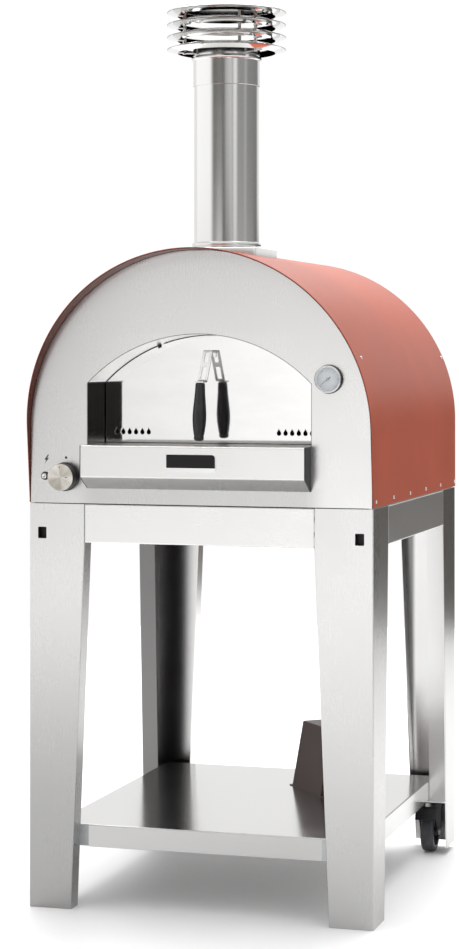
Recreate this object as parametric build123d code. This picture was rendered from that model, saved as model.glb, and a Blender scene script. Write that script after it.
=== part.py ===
from build123d import *
import math
import os

# Outdoor pizza oven on a steel stand, millimetres.
# +X is to the right of a person facing the mouth, +Y runs to the back, +Z is up.
# The origin is on the floor, under the middle of the whole oven.

# ---- driving sizes: whole oven ----
WIDTH = 800.0              # outside width of the roof shell and of the stand
STAND_DEPTH = 912.0        # outside depth of the stand
STAND_HEIGHT = 915.0       # floor to the top of the stand
WALL_HEIGHT = 173.0        # straight side wall of the shell, up to the start of its arch
VISOR_REACH = 60.0         # how far the crown of the shell leans out past the front panel
VISOR_START = 10.0         # height above the stand where that lean begins
SHELL_OVERHANG = 6.0       # shell beyond the back of the stand
SHELL_SHEET = 3.0
SHEET = 2.0                # steel sheet of the stand and of the oven's panels
FIT_GAP = 0.5              # gap round a panel that drops into a shell
SEAM = 2.0                 # shadow gap between stand and oven

# ---- stand ----
LEG_FRONT_TOP = 133.0      # width of a leg's front face at the top
LEG_FRONT_FOOT = 100.0
LEG_SIDE_TOP = 147.0       # width of a leg's side face at the top
LEG_SIDE_FOOT = 107.0
LEG_RETURN = 42.0          # inward fold on both free edges of a leg
REAR_LEG_LIFT = 16.0       # rear legs end above the floor, where the castors carry
HOOK_SLOT_W = 20.0
HOOK_SLOT_H = 26.0
HOOK_SLOT_IN = 31.0        # slot's middle from the outside of the stand
HOOK_SLOT_DOWN = 66.0      # slot's middle below the top of the stand
APRON_HEIGHT = 87.0
APRON_FLANGE = 28.0
NUT_SIZE = 10.0            # across flats
NUT_HEIGHT = 5.0
BOLT_R = 3.0
BOLT_CLEAR = 0.3           # radial, in the drilled holes
SHELF_TOP = 185.0
SHELF_LIP = 51.0
SHELF_HEM = 12.0
SHELF_SIDE_GAP = 1.0       # shelf to the legs' inward folds
LIP_CUT = 18.0             # front lip ends short of the leg folds
BRACKET_ARM = 60.0

# ---- stop that keeps the gas bottle in the middle of the shelf ----
STOP_LENGTH = 160.0
STOP_HEIGHT = 160.0
STOP_FOOT_WIDTH = 130.0
STOP_TOP_WIDTH = 70.0
STOP_TURN = -49.6          # degrees, long side from +X
STOP_X = 98.0              # middle of the foot of its inner face
STOP_BACK = 572.0          # same point, from the front of the stand
STOP_TAB = 16.0

# ---- castors ----
WHEEL_D = 100.0
WHEEL_WIDTH = 32.0
TYRE_THICK = 9.0
AXLE_D = 10.0
AXLE_FIT = 0.05            # radial running clearance
CASTOR_IN = 50.0           # wheel's middle from the outside of the stand
CASTOR_FROM_BACK = 67.0
FORK_GAP = 3.0             # wheel to fork cheek
FORK_SHEET = 3.0
FORK_REACH = 42.0
CASTOR_PLATE = 3.0
PEDAL_WIDTH = 50.0
PEDAL_PIN_D = 6.0

# ---- mouth, door and ledge ----
MOUTH_HALF = 260.0
HEARTH_TOP = 135.0         # above the top of the stand
JAMB_HEIGHT = 137.0        # straight part of the mouth, above the hearth
MOUTH_RISE = 110.0         # arched part above the jambs
REVEAL_DEPTH = 118.0       # front panel to the face of the door
DOOR_CLEAR = 2.0
DOOR_LIFT = 1.5            # door's bottom edge above the hearth
DOOR_SKIN = 2.0
DOOR_THICK = 20.0
DOOR_LAP = 5.0             # back pan inside the skin's edge
THROAT_STEP = 10.0         # throat plate closes in behind the door
VENT_COUNT = 6
VENT_FIRST = 154.5         # middle of the innermost vent
VENT_PITCH = 15.4
VENT_HEIGHT = 15.4
VENT_WIDTH = 9.6
VENT_UP = 27.0             # middle of the vents above the hearth
NOTCH_FROM = 115.0         # finger notch in the door's top edge
NOTCH_WIDTH = 17.0
NOTCH_DEPTH = 5.0
LEDGE_REACH = 52.0
LEDGE_FACE = 71.0
LEDGE_SLOPE_DROP = 28.0
LEDGE_SHEET = 2.0
PLATE_W = 116.0
PLATE_H = 41.5
PLATE_THICK = 1.2

# ---- door handle ----
HANDLE_X = -4.0
STRAP_W = 22.0
STRAP_SHEET = 2.5
STRAP_TOP_UP = 212.0       # top of the strap above the hearth
STRAP_TOP_OUT = 26.0
STRAP_FOOT_OUT = 70.0
STRAP_DROP = 70.0
STRAP_TAB = 30.0
GRIP_TOP_D = 21.0
GRIP_MID_D = 31.0
GRIP_FOOT_D = 20.0
GRIP_LENGTH = 130.0
GRIP_LEAN = 5.0            # degrees, foot of the grip swings outwards
GRIP_SCREW_D = 5.0

# ---- cooking chamber ----
CHAMBER_HALF = 330.0       # inside half width and inside arch radius
CHAMBER_BACK_GAP = 72.0    # chamber's back wall from the back of the stand
TILE_THICK = 30.0
TILE_GAP = 1.0
FLOOR_SHEET = 2.0
BOARD_HALF = 280.0
BLANKET_GAP = 2.0
TRAY_HEIGHT = 30.0
REAR_PANEL_IN = 28.0       # rear panel inside the back edge of the shell

# ---- thermometer ----
GAUGE_X = 300.5
GAUGE_UP = 283.0           # above the top of the stand
GAUGE_FLANGE_R = 32.0
GAUGE_CASE_R = 30.0
GAUGE_DEPTH = 18.0
GAUGE_RIM = 2.2
GAUGE_STEM_R = 4.0
GAUGE_STEM_IN = 40.0       # stem's reach into the chamber, behind the throat plate
POINTER_LENGTH = 21.0
POINTER_REST = 218.0       # degrees, from +X towards +Z

# ---- gas controls ----
KNOB_X = -312.5
KNOB_UP = 61.4             # above the top of the stand
KNOB_FACE_R = 30.5
KNOB_SKIRT_R = 32.5
KNOB_DEPTH = 32.0
KNOB_GAP = 4.0             # behind the knob, for its push
SPINDLE_R = 4.0
SPINDLE_FIT = 0.05
IGNITER_X = -361.4
IGNITER_UP = 62.7
IGNITER_BEZEL_R = 9.5
IGNITER_BUTTON_R = 6.0
IGNITER_OUT = 9.0
IGNITER_FIT = 0.2
BURNER_X = -270.0
BURNER_R = 16.0
BURNER_WALL = 2.0
BURNER_UP = 26.0           # burner's axis above the hearth
BURNER_FRONT = 60.0        # clear of the throat plate
BURNER_LENGTH = 520.0
PIPE_R = 5.0
PIPE_BEND = 25.0
INLET_X = -350.0
INLET_UP = 60.0

# ---- flue ----
FLUE_BACK = 223.0          # flue's axis behind the front panel
FLUE_BORE_R = 72.0
FLUE_PIPE_R = 75.5
FLUE_SHEET = 1.5
FLUE_BOX = 190.0
FLUE_BOX_UP = 8.0          # box top above the crown of the shell
FLUE_RING_R = 80.0
FLUE_RING_H = 9.0
FLUE_PIPE_LENGTH = 370.0
COLLAR_R = 77.5
COLLAR_LENGTH = 92.0
BEAD_R = 81.5
BEAD_H = 8.0
BEAD_DOWN = 24.0           # bead's top below the top of the collar
CAP_TIP_R = 138.0
CAP_INNER_R = 113.0
CAP_HALF_H = 8.0
CAP_SHEET = 1.5
CAP_PITCH = 28.4
CAP_COUNT = 4
CAP_ROD_COUNT = 3
CAP_ROD_RING = 99.0
CAP_ROD_R = 4.0
CAP_ROD_TURN = 88.7
CAP_ARM = 14.0

# ---- screws ----
SCREW_R = 4.0
SCREW_HEAD = 2.0
SCREW_COUNT = 6
SCREW_FIRST = 26.0         # behind the front of the stand
SCREW_PITCH = 176.0
SCREW_UP = 15.0
SIDE_DOT_UP = 330.0
SIDE_DOT_EDGE = 20.0

# ---- places worked out from the sizes above ----
HALF = WIDTH / 2
BACK_EDGE = STAND_DEPTH + SHELL_OVERHANG
FRONT = -(BACK_EDGE - VISOR_REACH) / 2      # front panel and front of the stand
BACK = FRONT + STAND_DEPTH
SHELL_BACK = FRONT + BACK_EDGE
SHELL_FOOT = STAND_HEIGHT + SEAM
SPRING = STAND_HEIGHT + WALL_HEIGHT         # where the arches begin
CROWN = SPRING + HALF
HEARTH = STAND_HEIGHT + HEARTH_TOP
JAMB_TOP = HEARTH + JAMB_HEIGHT
MOUTH_TOP = JAMB_TOP + MOUTH_RISE
DOOR_FACE = FRONT + REVEAL_DEPTH
THROAT = DOOR_FACE + DOOR_THICK + DOOR_CLEAR
CHAMBER_FRONT = THROAT + SHEET
CHAMBER_BACK = BACK - CHAMBER_BACK_GAP
CHAMBER_BASE = HEARTH - TILE_THICK
FLUE_Y = FRONT + FLUE_BACK
FLUE_BOX_TOP = CROWN + FLUE_BOX_UP
PIPE_FOOT = FLUE_BOX_TOP + 4.0
COLLAR_FOOT = PIPE_FOOT + FLUE_PIPE_LENGTH
COLLAR_TOP = COLLAR_FOOT + COLLAR_LENGTH
CAP_FIRST = COLLAR_TOP - 6.0
GAUGE_Z = STAND_HEIGHT + GAUGE_UP
KNOB_Z = STAND_HEIGHT + KNOB_UP
IGNITER_Z = STAND_HEIGHT + IGNITER_UP
CASTOR_Y = BACK - CASTOR_FROM_BACK
CASTOR_X = HALF - CASTOR_IN
MOUNT_TOP = SHELF_TOP - SHELF_LIP           # plate over each castor, under the shelf
CASTOR_HEIGHT = MOUNT_TOP - CASTOR_PLATE
FAR = 2000.0               # longer than any piece, for cutting tools

parts = {}


def box(x0, x1, y0, y1, z0, z1):
    """Block between two corners."""
    middle = ((x0 + x1) / 2, (y0 + y1) / 2, (z0 + z1) / 2)
    return Pos(*middle) * Box(abs(x1 - x0), abs(y1 - y0), abs(z1 - z0))


def along_y(face, y0, y1):
    """Face drawn in X and Z, given a thickness from y0 to y1."""
    plane = Plane((0, y1, 0), x_dir=(1, 0, 0), z_dir=(0, -1, 0))
    return extrude(plane * face, amount=y1 - y0)


def along_x(face, x0, x1):
    """Face drawn in Y and Z, given a thickness from x0 to x1."""
    plane = Plane((x0, 0, 0), x_dir=(0, 1, 0), z_dir=(1, 0, 0))
    return extrude(plane * face, amount=x1 - x0)


def outline(*points):
    """Closed straight-sided face."""
    return make_face(Polyline(*points, close=True))


def rod_y(x, y0, y1, z, radius):
    """Round bar along Y."""
    return Pos(x, (y0 + y1) / 2, z) * Rot(90, 0, 0) * Cylinder(radius, abs(y1 - y0))


def rod_x(x0, x1, y, z, radius):
    """Round bar along X."""
    return Pos((x0 + x1) / 2, y, z) * Rot(0, 90, 0) * Cylinder(radius, abs(x1 - x0))


def rod_z(x, y, z0, z1, radius):
    """Round bar along Z."""
    return Pos(x, y, (z0 + z1) / 2) * Cylinder(radius, abs(z1 - z0))


def mirrored(solid):
    """The same piece for the other side of the oven."""
    return mirror(solid, about=Plane.YZ)


def arch(radius, foot):
    """Upright face with straight sides and a half-round top, from foot to the shell's arch centre."""
    left = Line((-radius, foot), (-radius, SPRING))
    top = ThreePointArc((-radius, SPRING), (0, SPRING + radius), (radius, SPRING))
    right = Line((radius, SPRING), (radius, foot))
    base = Line((radius, foot), (-radius, foot))
    return make_face([left, top, right, base])


def mouth(inset, foot):
    """Face of the mouth, made smaller by inset on its sides and top."""
    half = MOUTH_HALF - inset
    jamb = JAMB_TOP
    left = Line((-half, foot), (-half, jamb))
    top = ThreePointArc((-half, jamb), (0, MOUTH_TOP - inset), (half, jamb))
    right = Line((half, jamb), (half, foot))
    base = Line((half, foot), (-half, foot))
    return make_face([left, top, right, base])


def arch_band(outer, inner, foot, y0, y1):
    """Bent sheet that follows the arch."""
    return along_y(arch(outer, foot), y0, y1) - along_y(arch(inner, foot - 1), y0 - 1, y1 + 1)


# ---------------------------------------------------------------- stand

def leg_face(outer, width_top, width_foot, foot, inward):
    """Tapered face: straight beside the apron, then narrowing to the foot."""
    taper_top = STAND_HEIGHT - APRON_HEIGHT
    slope = (width_top - width_foot) / taper_top
    at_foot = width_foot + slope * foot
    return [
        (outer, foot),
        (outer, STAND_HEIGHT),
        (outer + inward * width_top, STAND_HEIGHT),
        (outer + inward * width_top, taper_top),
        (outer + inward * at_foot, foot),
    ]


def fold_strip(points, inward, low):
    """Strip one sheet thick just inside the tapered edge of a leg face, down to the level low."""
    top, knee, foot = points[2], points[3], points[4]
    share = (low - foot[1]) / (knee[1] - foot[1])
    end = (foot[0] + share * (knee[0] - foot[0]), low)
    back = -inward * SHEET
    return outline(top, knee, end, (end[0] + back, low), (knee[0] + back, knee[1]), (top[0] + back, top[1]))


def right_leg(y_face, to_back, foot, low):
    """Leg at the right side. y_face is its outer Y, to_back is +1 for a front leg and -1 for a rear one."""
    front = leg_face(HALF, LEG_FRONT_TOP, LEG_FRONT_FOOT, foot, -1)
    side = leg_face(y_face, LEG_SIDE_TOP, LEG_SIDE_FOOT, foot, to_back)
    y_in = y_face + to_back * SHEET
    y_fold = y_face + to_back * (LEG_RETURN + SHEET)
    body = along_y(outline(*front), min(y_face, y_in), max(y_face, y_in))
    body += along_x(outline(*side), HALF - SHEET, HALF)
    body += along_y(fold_strip(front, -1, low), min(y_in, y_fold), max(y_in, y_fold))
    body += along_x(fold_strip(side, to_back, low), HALF - LEG_RETURN, HALF - SHEET)
    corner = body.edges().filter_by(Axis.Z).filter_by_position(Axis.X, HALF - 0.01, HALF + 0.01)
    corner = corner.filter_by_position(Axis.Y, y_face - 0.01, y_face + 0.01)
    return fillet(corner, SHEET * 1.25)


def hook_slot():
    """Slot through the front face of a right leg, for hanging a tool."""
    slot = RectangleRounded(HOOK_SLOT_W, HOOK_SLOT_H, 2.0)
    slot = Pos(HALF - HOOK_SLOT_IN, STAND_HEIGHT - HOOK_SLOT_DOWN) * slot
    return along_y(slot, FRONT - SHEET, FRONT + 2 * SHEET)


def castor_mount():
    """Plate welded across the inside of a rear leg's foot, over the castor."""
    front_edge = BACK - LEG_SIDE_FOOT - 10
    left_edge = HALF - LEG_FRONT_FOOT - 4
    return box(left_edge, HALF - SHEET, front_edge, BACK - SHEET, CASTOR_HEIGHT, MOUNT_TOP)


def legs():
    front = right_leg(FRONT, 1, 0.0, 0.0) - hook_slot() - right_leg_holes(FRONT, 1)
    rear = right_leg(BACK, -1, REAR_LEG_LIFT, MOUNT_TOP) - right_leg_holes(BACK, -1)
    rear += castor_mount()
    parts["leg_front_right"] = front
    parts["leg_front_left"] = mirrored(front)
    parts["leg_rear_right"] = rear
    parts["leg_rear_left"] = mirrored(rear)


BOLT_ROWS = (STAND_HEIGHT - 28, STAND_HEIGHT - APRON_HEIGHT + 28)
BOLT_IN = 18.0             # bolt's axis behind the outer face of the stand


def right_leg_holes(y_face, to_back):
    """Bolt holes through both inward folds of a right leg."""
    group = []
    for z in BOLT_ROWS:
        fold_x = HALF - LEG_FRONT_TOP
        group.append(rod_x(fold_x - 5, fold_x + 5, y_face + to_back * BOLT_IN, z, BOLT_R + BOLT_CLEAR))
        fold_y = y_face + to_back * LEG_SIDE_TOP
        group.append(rod_y(HALF - BOLT_IN, fold_y - 5, fold_y + 5, z, BOLT_R + BOLT_CLEAR))
    return group


def apron(length):
    """Folded rail along X with its face at y = 0, its back towards +Y and both ends folded in."""
    low = STAND_HEIGHT - APRON_HEIGHT
    half = length / 2
    rail = box(-half, half, 0, APRON_FLANGE, low, STAND_HEIGHT)
    rail -= box(-half + SHEET, half - SHEET, SHEET, APRON_FLANGE + 1, low + SHEET, STAND_HEIGHT - SHEET)
    for z in BOLT_ROWS:
        rail -= rod_x(-half - 1, half + 1, BOLT_IN, z, BOLT_R + BOLT_CLEAR)
    return rail


def aprons():
    cross = apron(WIDTH - 2 * LEG_FRONT_TOP)
    long = apron(STAND_DEPTH - 2 * LEG_SIDE_TOP)
    middle = (FRONT + BACK) / 2
    parts["apron_front"] = Pos(0, FRONT, 0) * cross
    parts["apron_rear"] = Pos(0, BACK, 0) * Rot(0, 0, 180) * cross
    parts["apron_right"] = Pos(HALF, middle, 0) * Rot(0, 0, 90) * long
    parts["apron_left"] = Pos(-HALF, middle, 0) * Rot(0, 0, -90) * long


def bolt():
    """Hexagon bolt along X through two sheets that meet at x = 0, with its nut."""
    hexagon = Rot(0, 90, 0) * RegularPolygon(NUT_SIZE / 2, 6, major_radius=False)
    head = Pos(-SHEET - NUT_HEIGHT, 0, 0) * extrude(hexagon, amount=NUT_HEIGHT, dir=(1, 0, 0))
    end = Pos(SHEET, 0, 0) * extrude(hexagon, amount=NUT_HEIGHT, dir=(1, 0, 0))
    return head + end + rod_x(-SHEET - 1, SHEET + NUT_HEIGHT + 2, 0, 0, BOLT_R)


def stand_bolts():
    """Two bolts at each end of each apron, through the leg's inward fold."""
    x_end = HALF - LEG_FRONT_TOP
    y_end = STAND_DEPTH / 2 - LEG_SIDE_TOP
    middle = (FRONT + BACK) / 2
    one = bolt()
    group = []
    for z in BOLT_ROWS:
        for y in (FRONT + BOLT_IN, BACK - BOLT_IN):
            group.append(Pos(x_end, y, z) * one)
            group.append(Pos(-x_end, y, z) * Rot(0, 0, 180) * one)
        for x in (HALF - BOLT_IN, -HALF + BOLT_IN):
            group.append(Pos(x, middle + y_end, z) * Rot(0, 0, 90) * one)
            group.append(Pos(x, middle - y_end, z) * Rot(0, 0, -90) * one)
    parts["stand_bolts"] = Compound(children=group)


SHELF_HALF = HALF - LEG_RETURN - SHELF_SIDE_GAP
SHELF_FRONT = FRONT + LEG_RETURN + SHEET
SHELF_BACK = BACK - LEG_RETURN - SHEET


def shelf():
    """Folded tray: flat top, deep lips all round with a hem under each."""
    low = SHELF_TOP - SHELF_LIP
    tray = box(-SHELF_HALF, SHELF_HALF, SHELF_FRONT, SHELF_BACK, low, SHELF_TOP)
    tray -= box(-SHELF_HALF + SHEET, SHELF_HALF - SHEET, SHELF_FRONT + SHEET, SHELF_BACK - SHEET,
                low + SHEET, SHELF_TOP - SHEET)
    tray -= box(-SHELF_HALF + SHELF_HEM, SHELF_HALF - SHELF_HEM, SHELF_FRONT + SHELF_HEM,
                SHELF_BACK - SHELF_HEM, low - 1, low + SHEET + 1)
    lip_end = HALF - LEG_FRONT_FOOT - SHEET - LIP_CUT - (LEG_FRONT_TOP - LEG_FRONT_FOOT) * 0.2
    for side in (-1, 1):
        corner = box(lip_end, SHELF_HALF + 1, SHELF_FRONT - 1, SHELF_FRONT + SHELF_HEM + 1,
                     low - 1, SHELF_TOP - SHEET)
        tray -= corner if side > 0 else mirrored(corner)
    parts["shelf"] = tray
    return lip_end


def shelf_brackets(lip_end):
    """Angle in each corner under the shelf, welded to the leg's inward fold."""
    low = SHELF_TOP - SHELF_LIP + SHEET
    high = SHELF_TOP - SHEET
    x_in = SHELF_HALF - SHEET
    front = box(lip_end, x_in, SHELF_FRONT, SHELF_FRONT + SHEET, low, high)
    front += box(x_in - SHEET, x_in, SHELF_FRONT, SHELF_FRONT + BRACKET_ARM, low, high)
    y_in = SHELF_BACK - SHEET
    rear = box(x_in - BRACKET_ARM, x_in, y_in - SHEET, y_in, low, high)
    rear += box(x_in - SHEET, x_in, y_in - BRACKET_ARM, y_in, low, high)
    group = [front, mirrored(front), rear, mirrored(rear)]
    parts["shelf_brackets"] = Compound(children=group)


def bottle_stop():
    """Folded-sheet stop with sloping faces, open at its ends."""
    half_foot = STOP_FOOT_WIDTH / 2
    half_top = STOP_TOP_WIDTH / 2
    run = half_foot - half_top
    wall = SHEET * math.hypot(run, STOP_HEIGHT) / STOP_HEIGHT
    outside = outline((-half_foot, 0), (-half_top, STOP_HEIGHT), (half_top, STOP_HEIGHT), (half_foot, 0))
    inner_top = STOP_HEIGHT - SHEET
    shrink = run * inner_top / STOP_HEIGHT
    inside = outline((-half_foot + wall, -1), (-half_foot + shrink + wall, inner_top),
                     (half_foot - shrink - wall, inner_top), (half_foot - wall, -1))
    long = STOP_LENGTH / 2
    stop = along_x(outside, -long, long) - along_x(inside, -long - 1, long + 1)
    cover = along_x(outside, -long, -long + SHEET) + along_x(outside, long - SHEET, long)
    stop += cover
    stop += box(-long - STOP_TAB, -long + 1, -half_foot, half_foot, 0, SHEET)
    stop += box(long - 1, long + STOP_TAB, -half_foot, half_foot, 0, SHEET)
    turn = math.radians(STOP_TURN)
    x = STOP_X - math.sin(turn) * half_foot
    y = FRONT + STOP_BACK + math.cos(turn) * half_foot
    parts["bottle_stop"] = Pos(x, y, SHELF_TOP) * Rot(0, 0, STOP_TURN) * stop


# ---------------------------------------------------------------- castors

def fork_cheek(x0, x1):
    """Side of the fork: wide under the plate, narrow round the axle."""
    axle = WHEEL_D / 2
    top = CASTOR_HEIGHT - CASTOR_PLATE
    nose = 11.0
    face = outline(
        (CASTOR_Y - FORK_REACH, top), (CASTOR_Y - FORK_REACH, top - 30),
        (CASTOR_Y - nose, axle - nose * 0.7), (CASTOR_Y + nose, axle - nose * 0.7),
        (CASTOR_Y + FORK_REACH * 0.8, top - 22), (CASTOR_Y + FORK_REACH * 0.8, top),
    )
    return along_x(face, x0, x1)


def castor(side):
    """Fixed castor: fork, axle, wheel, tyre and brake pedal. side is +1 for right."""
    name = "right" if side > 0 else "left"
    x = side * CASTOR_X
    axle_z = WHEEL_D / 2
    top = CASTOR_HEIGHT - CASTOR_PLATE
    inner = WHEEL_WIDTH / 2 + FORK_GAP
    outer = inner + FORK_SHEET
    plate = box(x - 38, x + 38, CASTOR_Y - 46, CASTOR_Y + 46, top, CASTOR_HEIGHT)
    fork = plate + fork_cheek(x - outer, x - inner) + fork_cheek(x + inner, x + outer)
    fork += box(x - outer, x + outer, CASTOR_Y - 20, CASTOR_Y + 20, top - FORK_SHEET, top)
    fork -= rod_x(x - FAR, x + FAR, CASTOR_Y, axle_z, AXLE_D / 2)
    pin_y = CASTOR_Y - FORK_REACH + 8
    pin_z = top - 14
    fork -= rod_x(x - FAR, x + FAR, pin_y, pin_z, PEDAL_PIN_D / 2)
    pin = rod_x(x - outer - 2, x + outer + 2, pin_y, pin_z, PEDAL_PIN_D / 2)
    parts["castor_fork_" + name] = fork + pin

    head = 3.0
    axle = rod_x(x - outer - head, x + outer + head, CASTOR_Y, axle_z, AXLE_D / 2)
    axle += rod_x(x - outer - head, x - outer, CASTOR_Y, axle_z, AXLE_D * 0.85)
    axle += rod_x(x + outer, x + outer + head, CASTOR_Y, axle_z, AXLE_D * 0.85)

    core_r = WHEEL_D / 2 - TYRE_THICK
    half = WHEEL_WIDTH / 2
    core = rod_x(x - half, x + half, CASTOR_Y, axle_z, core_r)
    core -= rod_x(x - half - 1, x - 5, CASTOR_Y, axle_z, core_r - 6)
    core -= rod_x(x + 5, x + half + 1, CASTOR_Y, axle_z, core_r - 6)
    core += rod_x(x - half - 1, x + half + 1, CASTOR_Y, axle_z, AXLE_D)
    core -= rod_x(x - FAR, x + FAR, CASTOR_Y, axle_z, AXLE_D / 2 + AXLE_FIT)
    parts["wheel_" + name] = core
    tyre = rod_x(x - half, x + half, CASTOR_Y, axle_z, WHEEL_D / 2)
    tyre = fillet(tyre.edges().filter_by(GeomType.CIRCLE), 6.0)
    tyre -= rod_x(x - FAR, x + FAR, CASTOR_Y, axle_z, core_r)
    parts["tyre_" + name] = tyre
    parts["brake_pedal_" + name] = brake_pedal(x, pin_y, pin_z)
    return axle


def brake_pedal(x, pin_y, pin_z):
    """Foot pedal in front of the wheel, on its own pin through the fork."""
    half = PEDAL_WIDTH / 2
    fit = PEDAL_PIN_D / 2 + AXLE_FIT
    tread = outline((pin_y - 32, pin_z - 26), (pin_y - 34.5, pin_z - 23), (pin_y - 14, pin_z + 3),
                    (pin_y - 11.5, pin_z))
    pedal = along_x(tread, x - half, x + half)
    for side in (-1, 1):
        near = WHEEL_WIDTH / 2 + FORK_GAP + FORK_SHEET + 0.5
        ear = outline((pin_y - 14, pin_z + 3), (pin_y + 5, pin_z + 5), (pin_y + 5, pin_z - 5),
                      (pin_y - 17, pin_z - 7))
        low, high = (near, near + 2) if side > 0 else (-near - 2, -near)
        pedal += along_x(ear, x + low, x + high)
    return pedal - rod_x(x - FAR, x + FAR, pin_y, pin_z, fit)


def castors():
    axles = [castor(1), castor(-1)]
    parts["castor_axles"] = Compound(children=axles)


# ---------------------------------------------------------------- oven body

def visor_cut():
    """Everything in front of the shell's leaning edge."""
    start = STAND_HEIGHT + VISOR_START
    return along_x(outline(
        (FRONT - FAR, SHELL_FOOT - 50), (FRONT, SHELL_FOOT - 50), (FRONT, start),
        (FRONT - VISOR_REACH, CROWN), (FRONT - VISOR_REACH, CROWN + 50), (FRONT - FAR, CROWN + 50),
    ), -FAR, FAR)


def roof_shell():
    shell = arch_band(HALF, HALF - SHELL_SHEET, SHELL_FOOT, FRONT - VISOR_REACH, SHELL_BACK)
    shell -= visor_cut()
    shell -= rod_z(0, FLUE_Y, CROWN - 60, CROWN + 60, FLUE_PIPE_R + 3)
    parts["roof_shell"] = shell


def front_panel():
    radius = HALF - SHELL_SHEET - FIT_GAP
    panel = along_y(arch(radius, SHELL_FOOT), FRONT, FRONT + SHEET)
    panel -= along_y(mouth(0, HEARTH - LEDGE_SHEET), FRONT - 1, FRONT + SHEET + 1)
    panel -= rod_y(KNOB_X, FRONT - 1, FRONT + SHEET + 1, KNOB_Z, SPINDLE_R + 2)
    panel -= rod_y(IGNITER_X, FRONT - 1, FRONT + SHEET + 1, IGNITER_Z, IGNITER_BUTTON_R + 1.5)
    panel -= rod_y(GAUGE_X, FRONT - 1, FRONT + SHEET + 1, GAUGE_Z, GAUGE_STEM_R)
    parts["front_panel"] = panel


REAR_PANEL = SHELL_BACK - REAR_PANEL_IN


def rear_panel():
    """Back of the oven, with a block of air slots and a hole for the gas inlet."""
    radius = HALF - SHELL_SHEET - FIT_GAP
    panel = along_y(arch(radius, SHELL_FOOT), REAR_PANEL, REAR_PANEL + SHEET)
    for row in range(5):
        for column in (-1, 1):
            slot = SlotOverall(90, 8)
            slot = Pos(column * 70, STAND_HEIGHT + 60 + row * 20) * slot
            panel -= along_y(slot, REAR_PANEL - 1, REAR_PANEL + SHEET + 1)
    panel -= rod_y(INLET_X, REAR_PANEL - 1, REAR_PANEL + SHEET + 1, STAND_HEIGHT + INLET_UP, PIPE_R + 3)
    parts["rear_panel"] = panel


def base_tray():
    """Shallow pan under the oven, screwed to the foot of the shell."""
    half = HALF - SHELL_SHEET
    y0 = FRONT + SHEET
    y1 = REAR_PANEL
    tray = box(-half, half, y0, y1, STAND_HEIGHT, STAND_HEIGHT + TRAY_HEIGHT)
    tray -= box(-half + SHEET, half - SHEET, y0 + SHEET, y1 - SHEET, STAND_HEIGHT + SHEET, FAR)
    parts["base_tray"] = tray


def mouth_liner():
    """Polished reveal from the front panel to the throat plate."""
    foot = HEARTH - LEDGE_SHEET
    liner = along_y(mouth(-SHEET, foot), FRONT + SHEET, THROAT)
    liner -= along_y(mouth(0, foot - 1), FRONT, THROAT + 1)
    parts["mouth_liner"] = liner


def throat_plate():
    """Front wall of the chamber, which the door closes against."""
    plate = along_y(arch(CHAMBER_HALF + SHEET, CHAMBER_BASE), THROAT, CHAMBER_FRONT)
    plate -= along_y(mouth(THROAT_STEP, HEARTH), THROAT - 1, CHAMBER_FRONT + 1)
    plate -= rod_y(GAUGE_X, THROAT - 1, CHAMBER_FRONT + 1, GAUGE_Z, GAUGE_STEM_R)
    parts["throat_plate"] = plate


def chamber():
    outer = CHAMBER_HALF + SHEET
    vault = arch_band(outer, CHAMBER_HALF, CHAMBER_BASE, CHAMBER_FRONT, CHAMBER_BACK)
    vault -= rod_z(0, FLUE_Y, SPRING, CROWN, FLUE_BORE_R + FLUE_SHEET)
    parts["chamber_vault"] = vault
    back = along_y(arch(outer, CHAMBER_BASE), CHAMBER_BACK, CHAMBER_BACK + SHEET)
    feed_z = HEARTH + BURNER_UP
    back -= rod_y(BURNER_X, CHAMBER_BACK - 1, CHAMBER_BACK + SHEET + 1, feed_z, PIPE_R)
    parts["chamber_rear_wall"] = back
    low = CHAMBER_BASE - FLOOR_SHEET
    parts["chamber_floor"] = box(-outer, outer, THROAT, CHAMBER_BACK + SHEET, low, CHAMBER_BASE)
    board_low = STAND_HEIGHT + SHEET
    parts["hearth_board"] = box(-BOARD_HALF, BOARD_HALF, THROAT, CHAMBER_BACK, board_low, low)


def hearth_tiles():
    """Four fireclay tiles with a small bevel round their top edges."""
    width = CHAMBER_HALF - 1.5 * TILE_GAP
    y0 = CHAMBER_FRONT + TILE_GAP
    y1 = CHAMBER_BACK - TILE_GAP
    depth = (y1 - y0 - TILE_GAP) / 2
    group = []
    for column in (0, 1):
        for row in (0, 1):
            x0 = -width - TILE_GAP / 2 + column * (width + TILE_GAP)
            y = y0 + row * (depth + TILE_GAP)
            tile = box(x0, x0 + width, y, y + depth, CHAMBER_BASE, HEARTH)
            tile = chamfer(tile.faces().sort_by(Axis.Z)[-1].edges(), 1.5)
            group.append(tile)
    parts["hearth_tiles"] = Compound(children=group)


def insulation_blanket():
    """Ceramic fibre between the vault and the shell."""
    outer = HALF - SHELL_SHEET - BLANKET_GAP
    inner = CHAMBER_HALF + SHEET
    band = arch_band(outer, inner, CHAMBER_BASE, CHAMBER_FRONT, CHAMBER_BACK)
    band -= rod_z(0, FLUE_Y, SPRING, FAR, FLUE_PIPE_R + 1)
    parts["insulation_blanket"] = band


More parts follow.
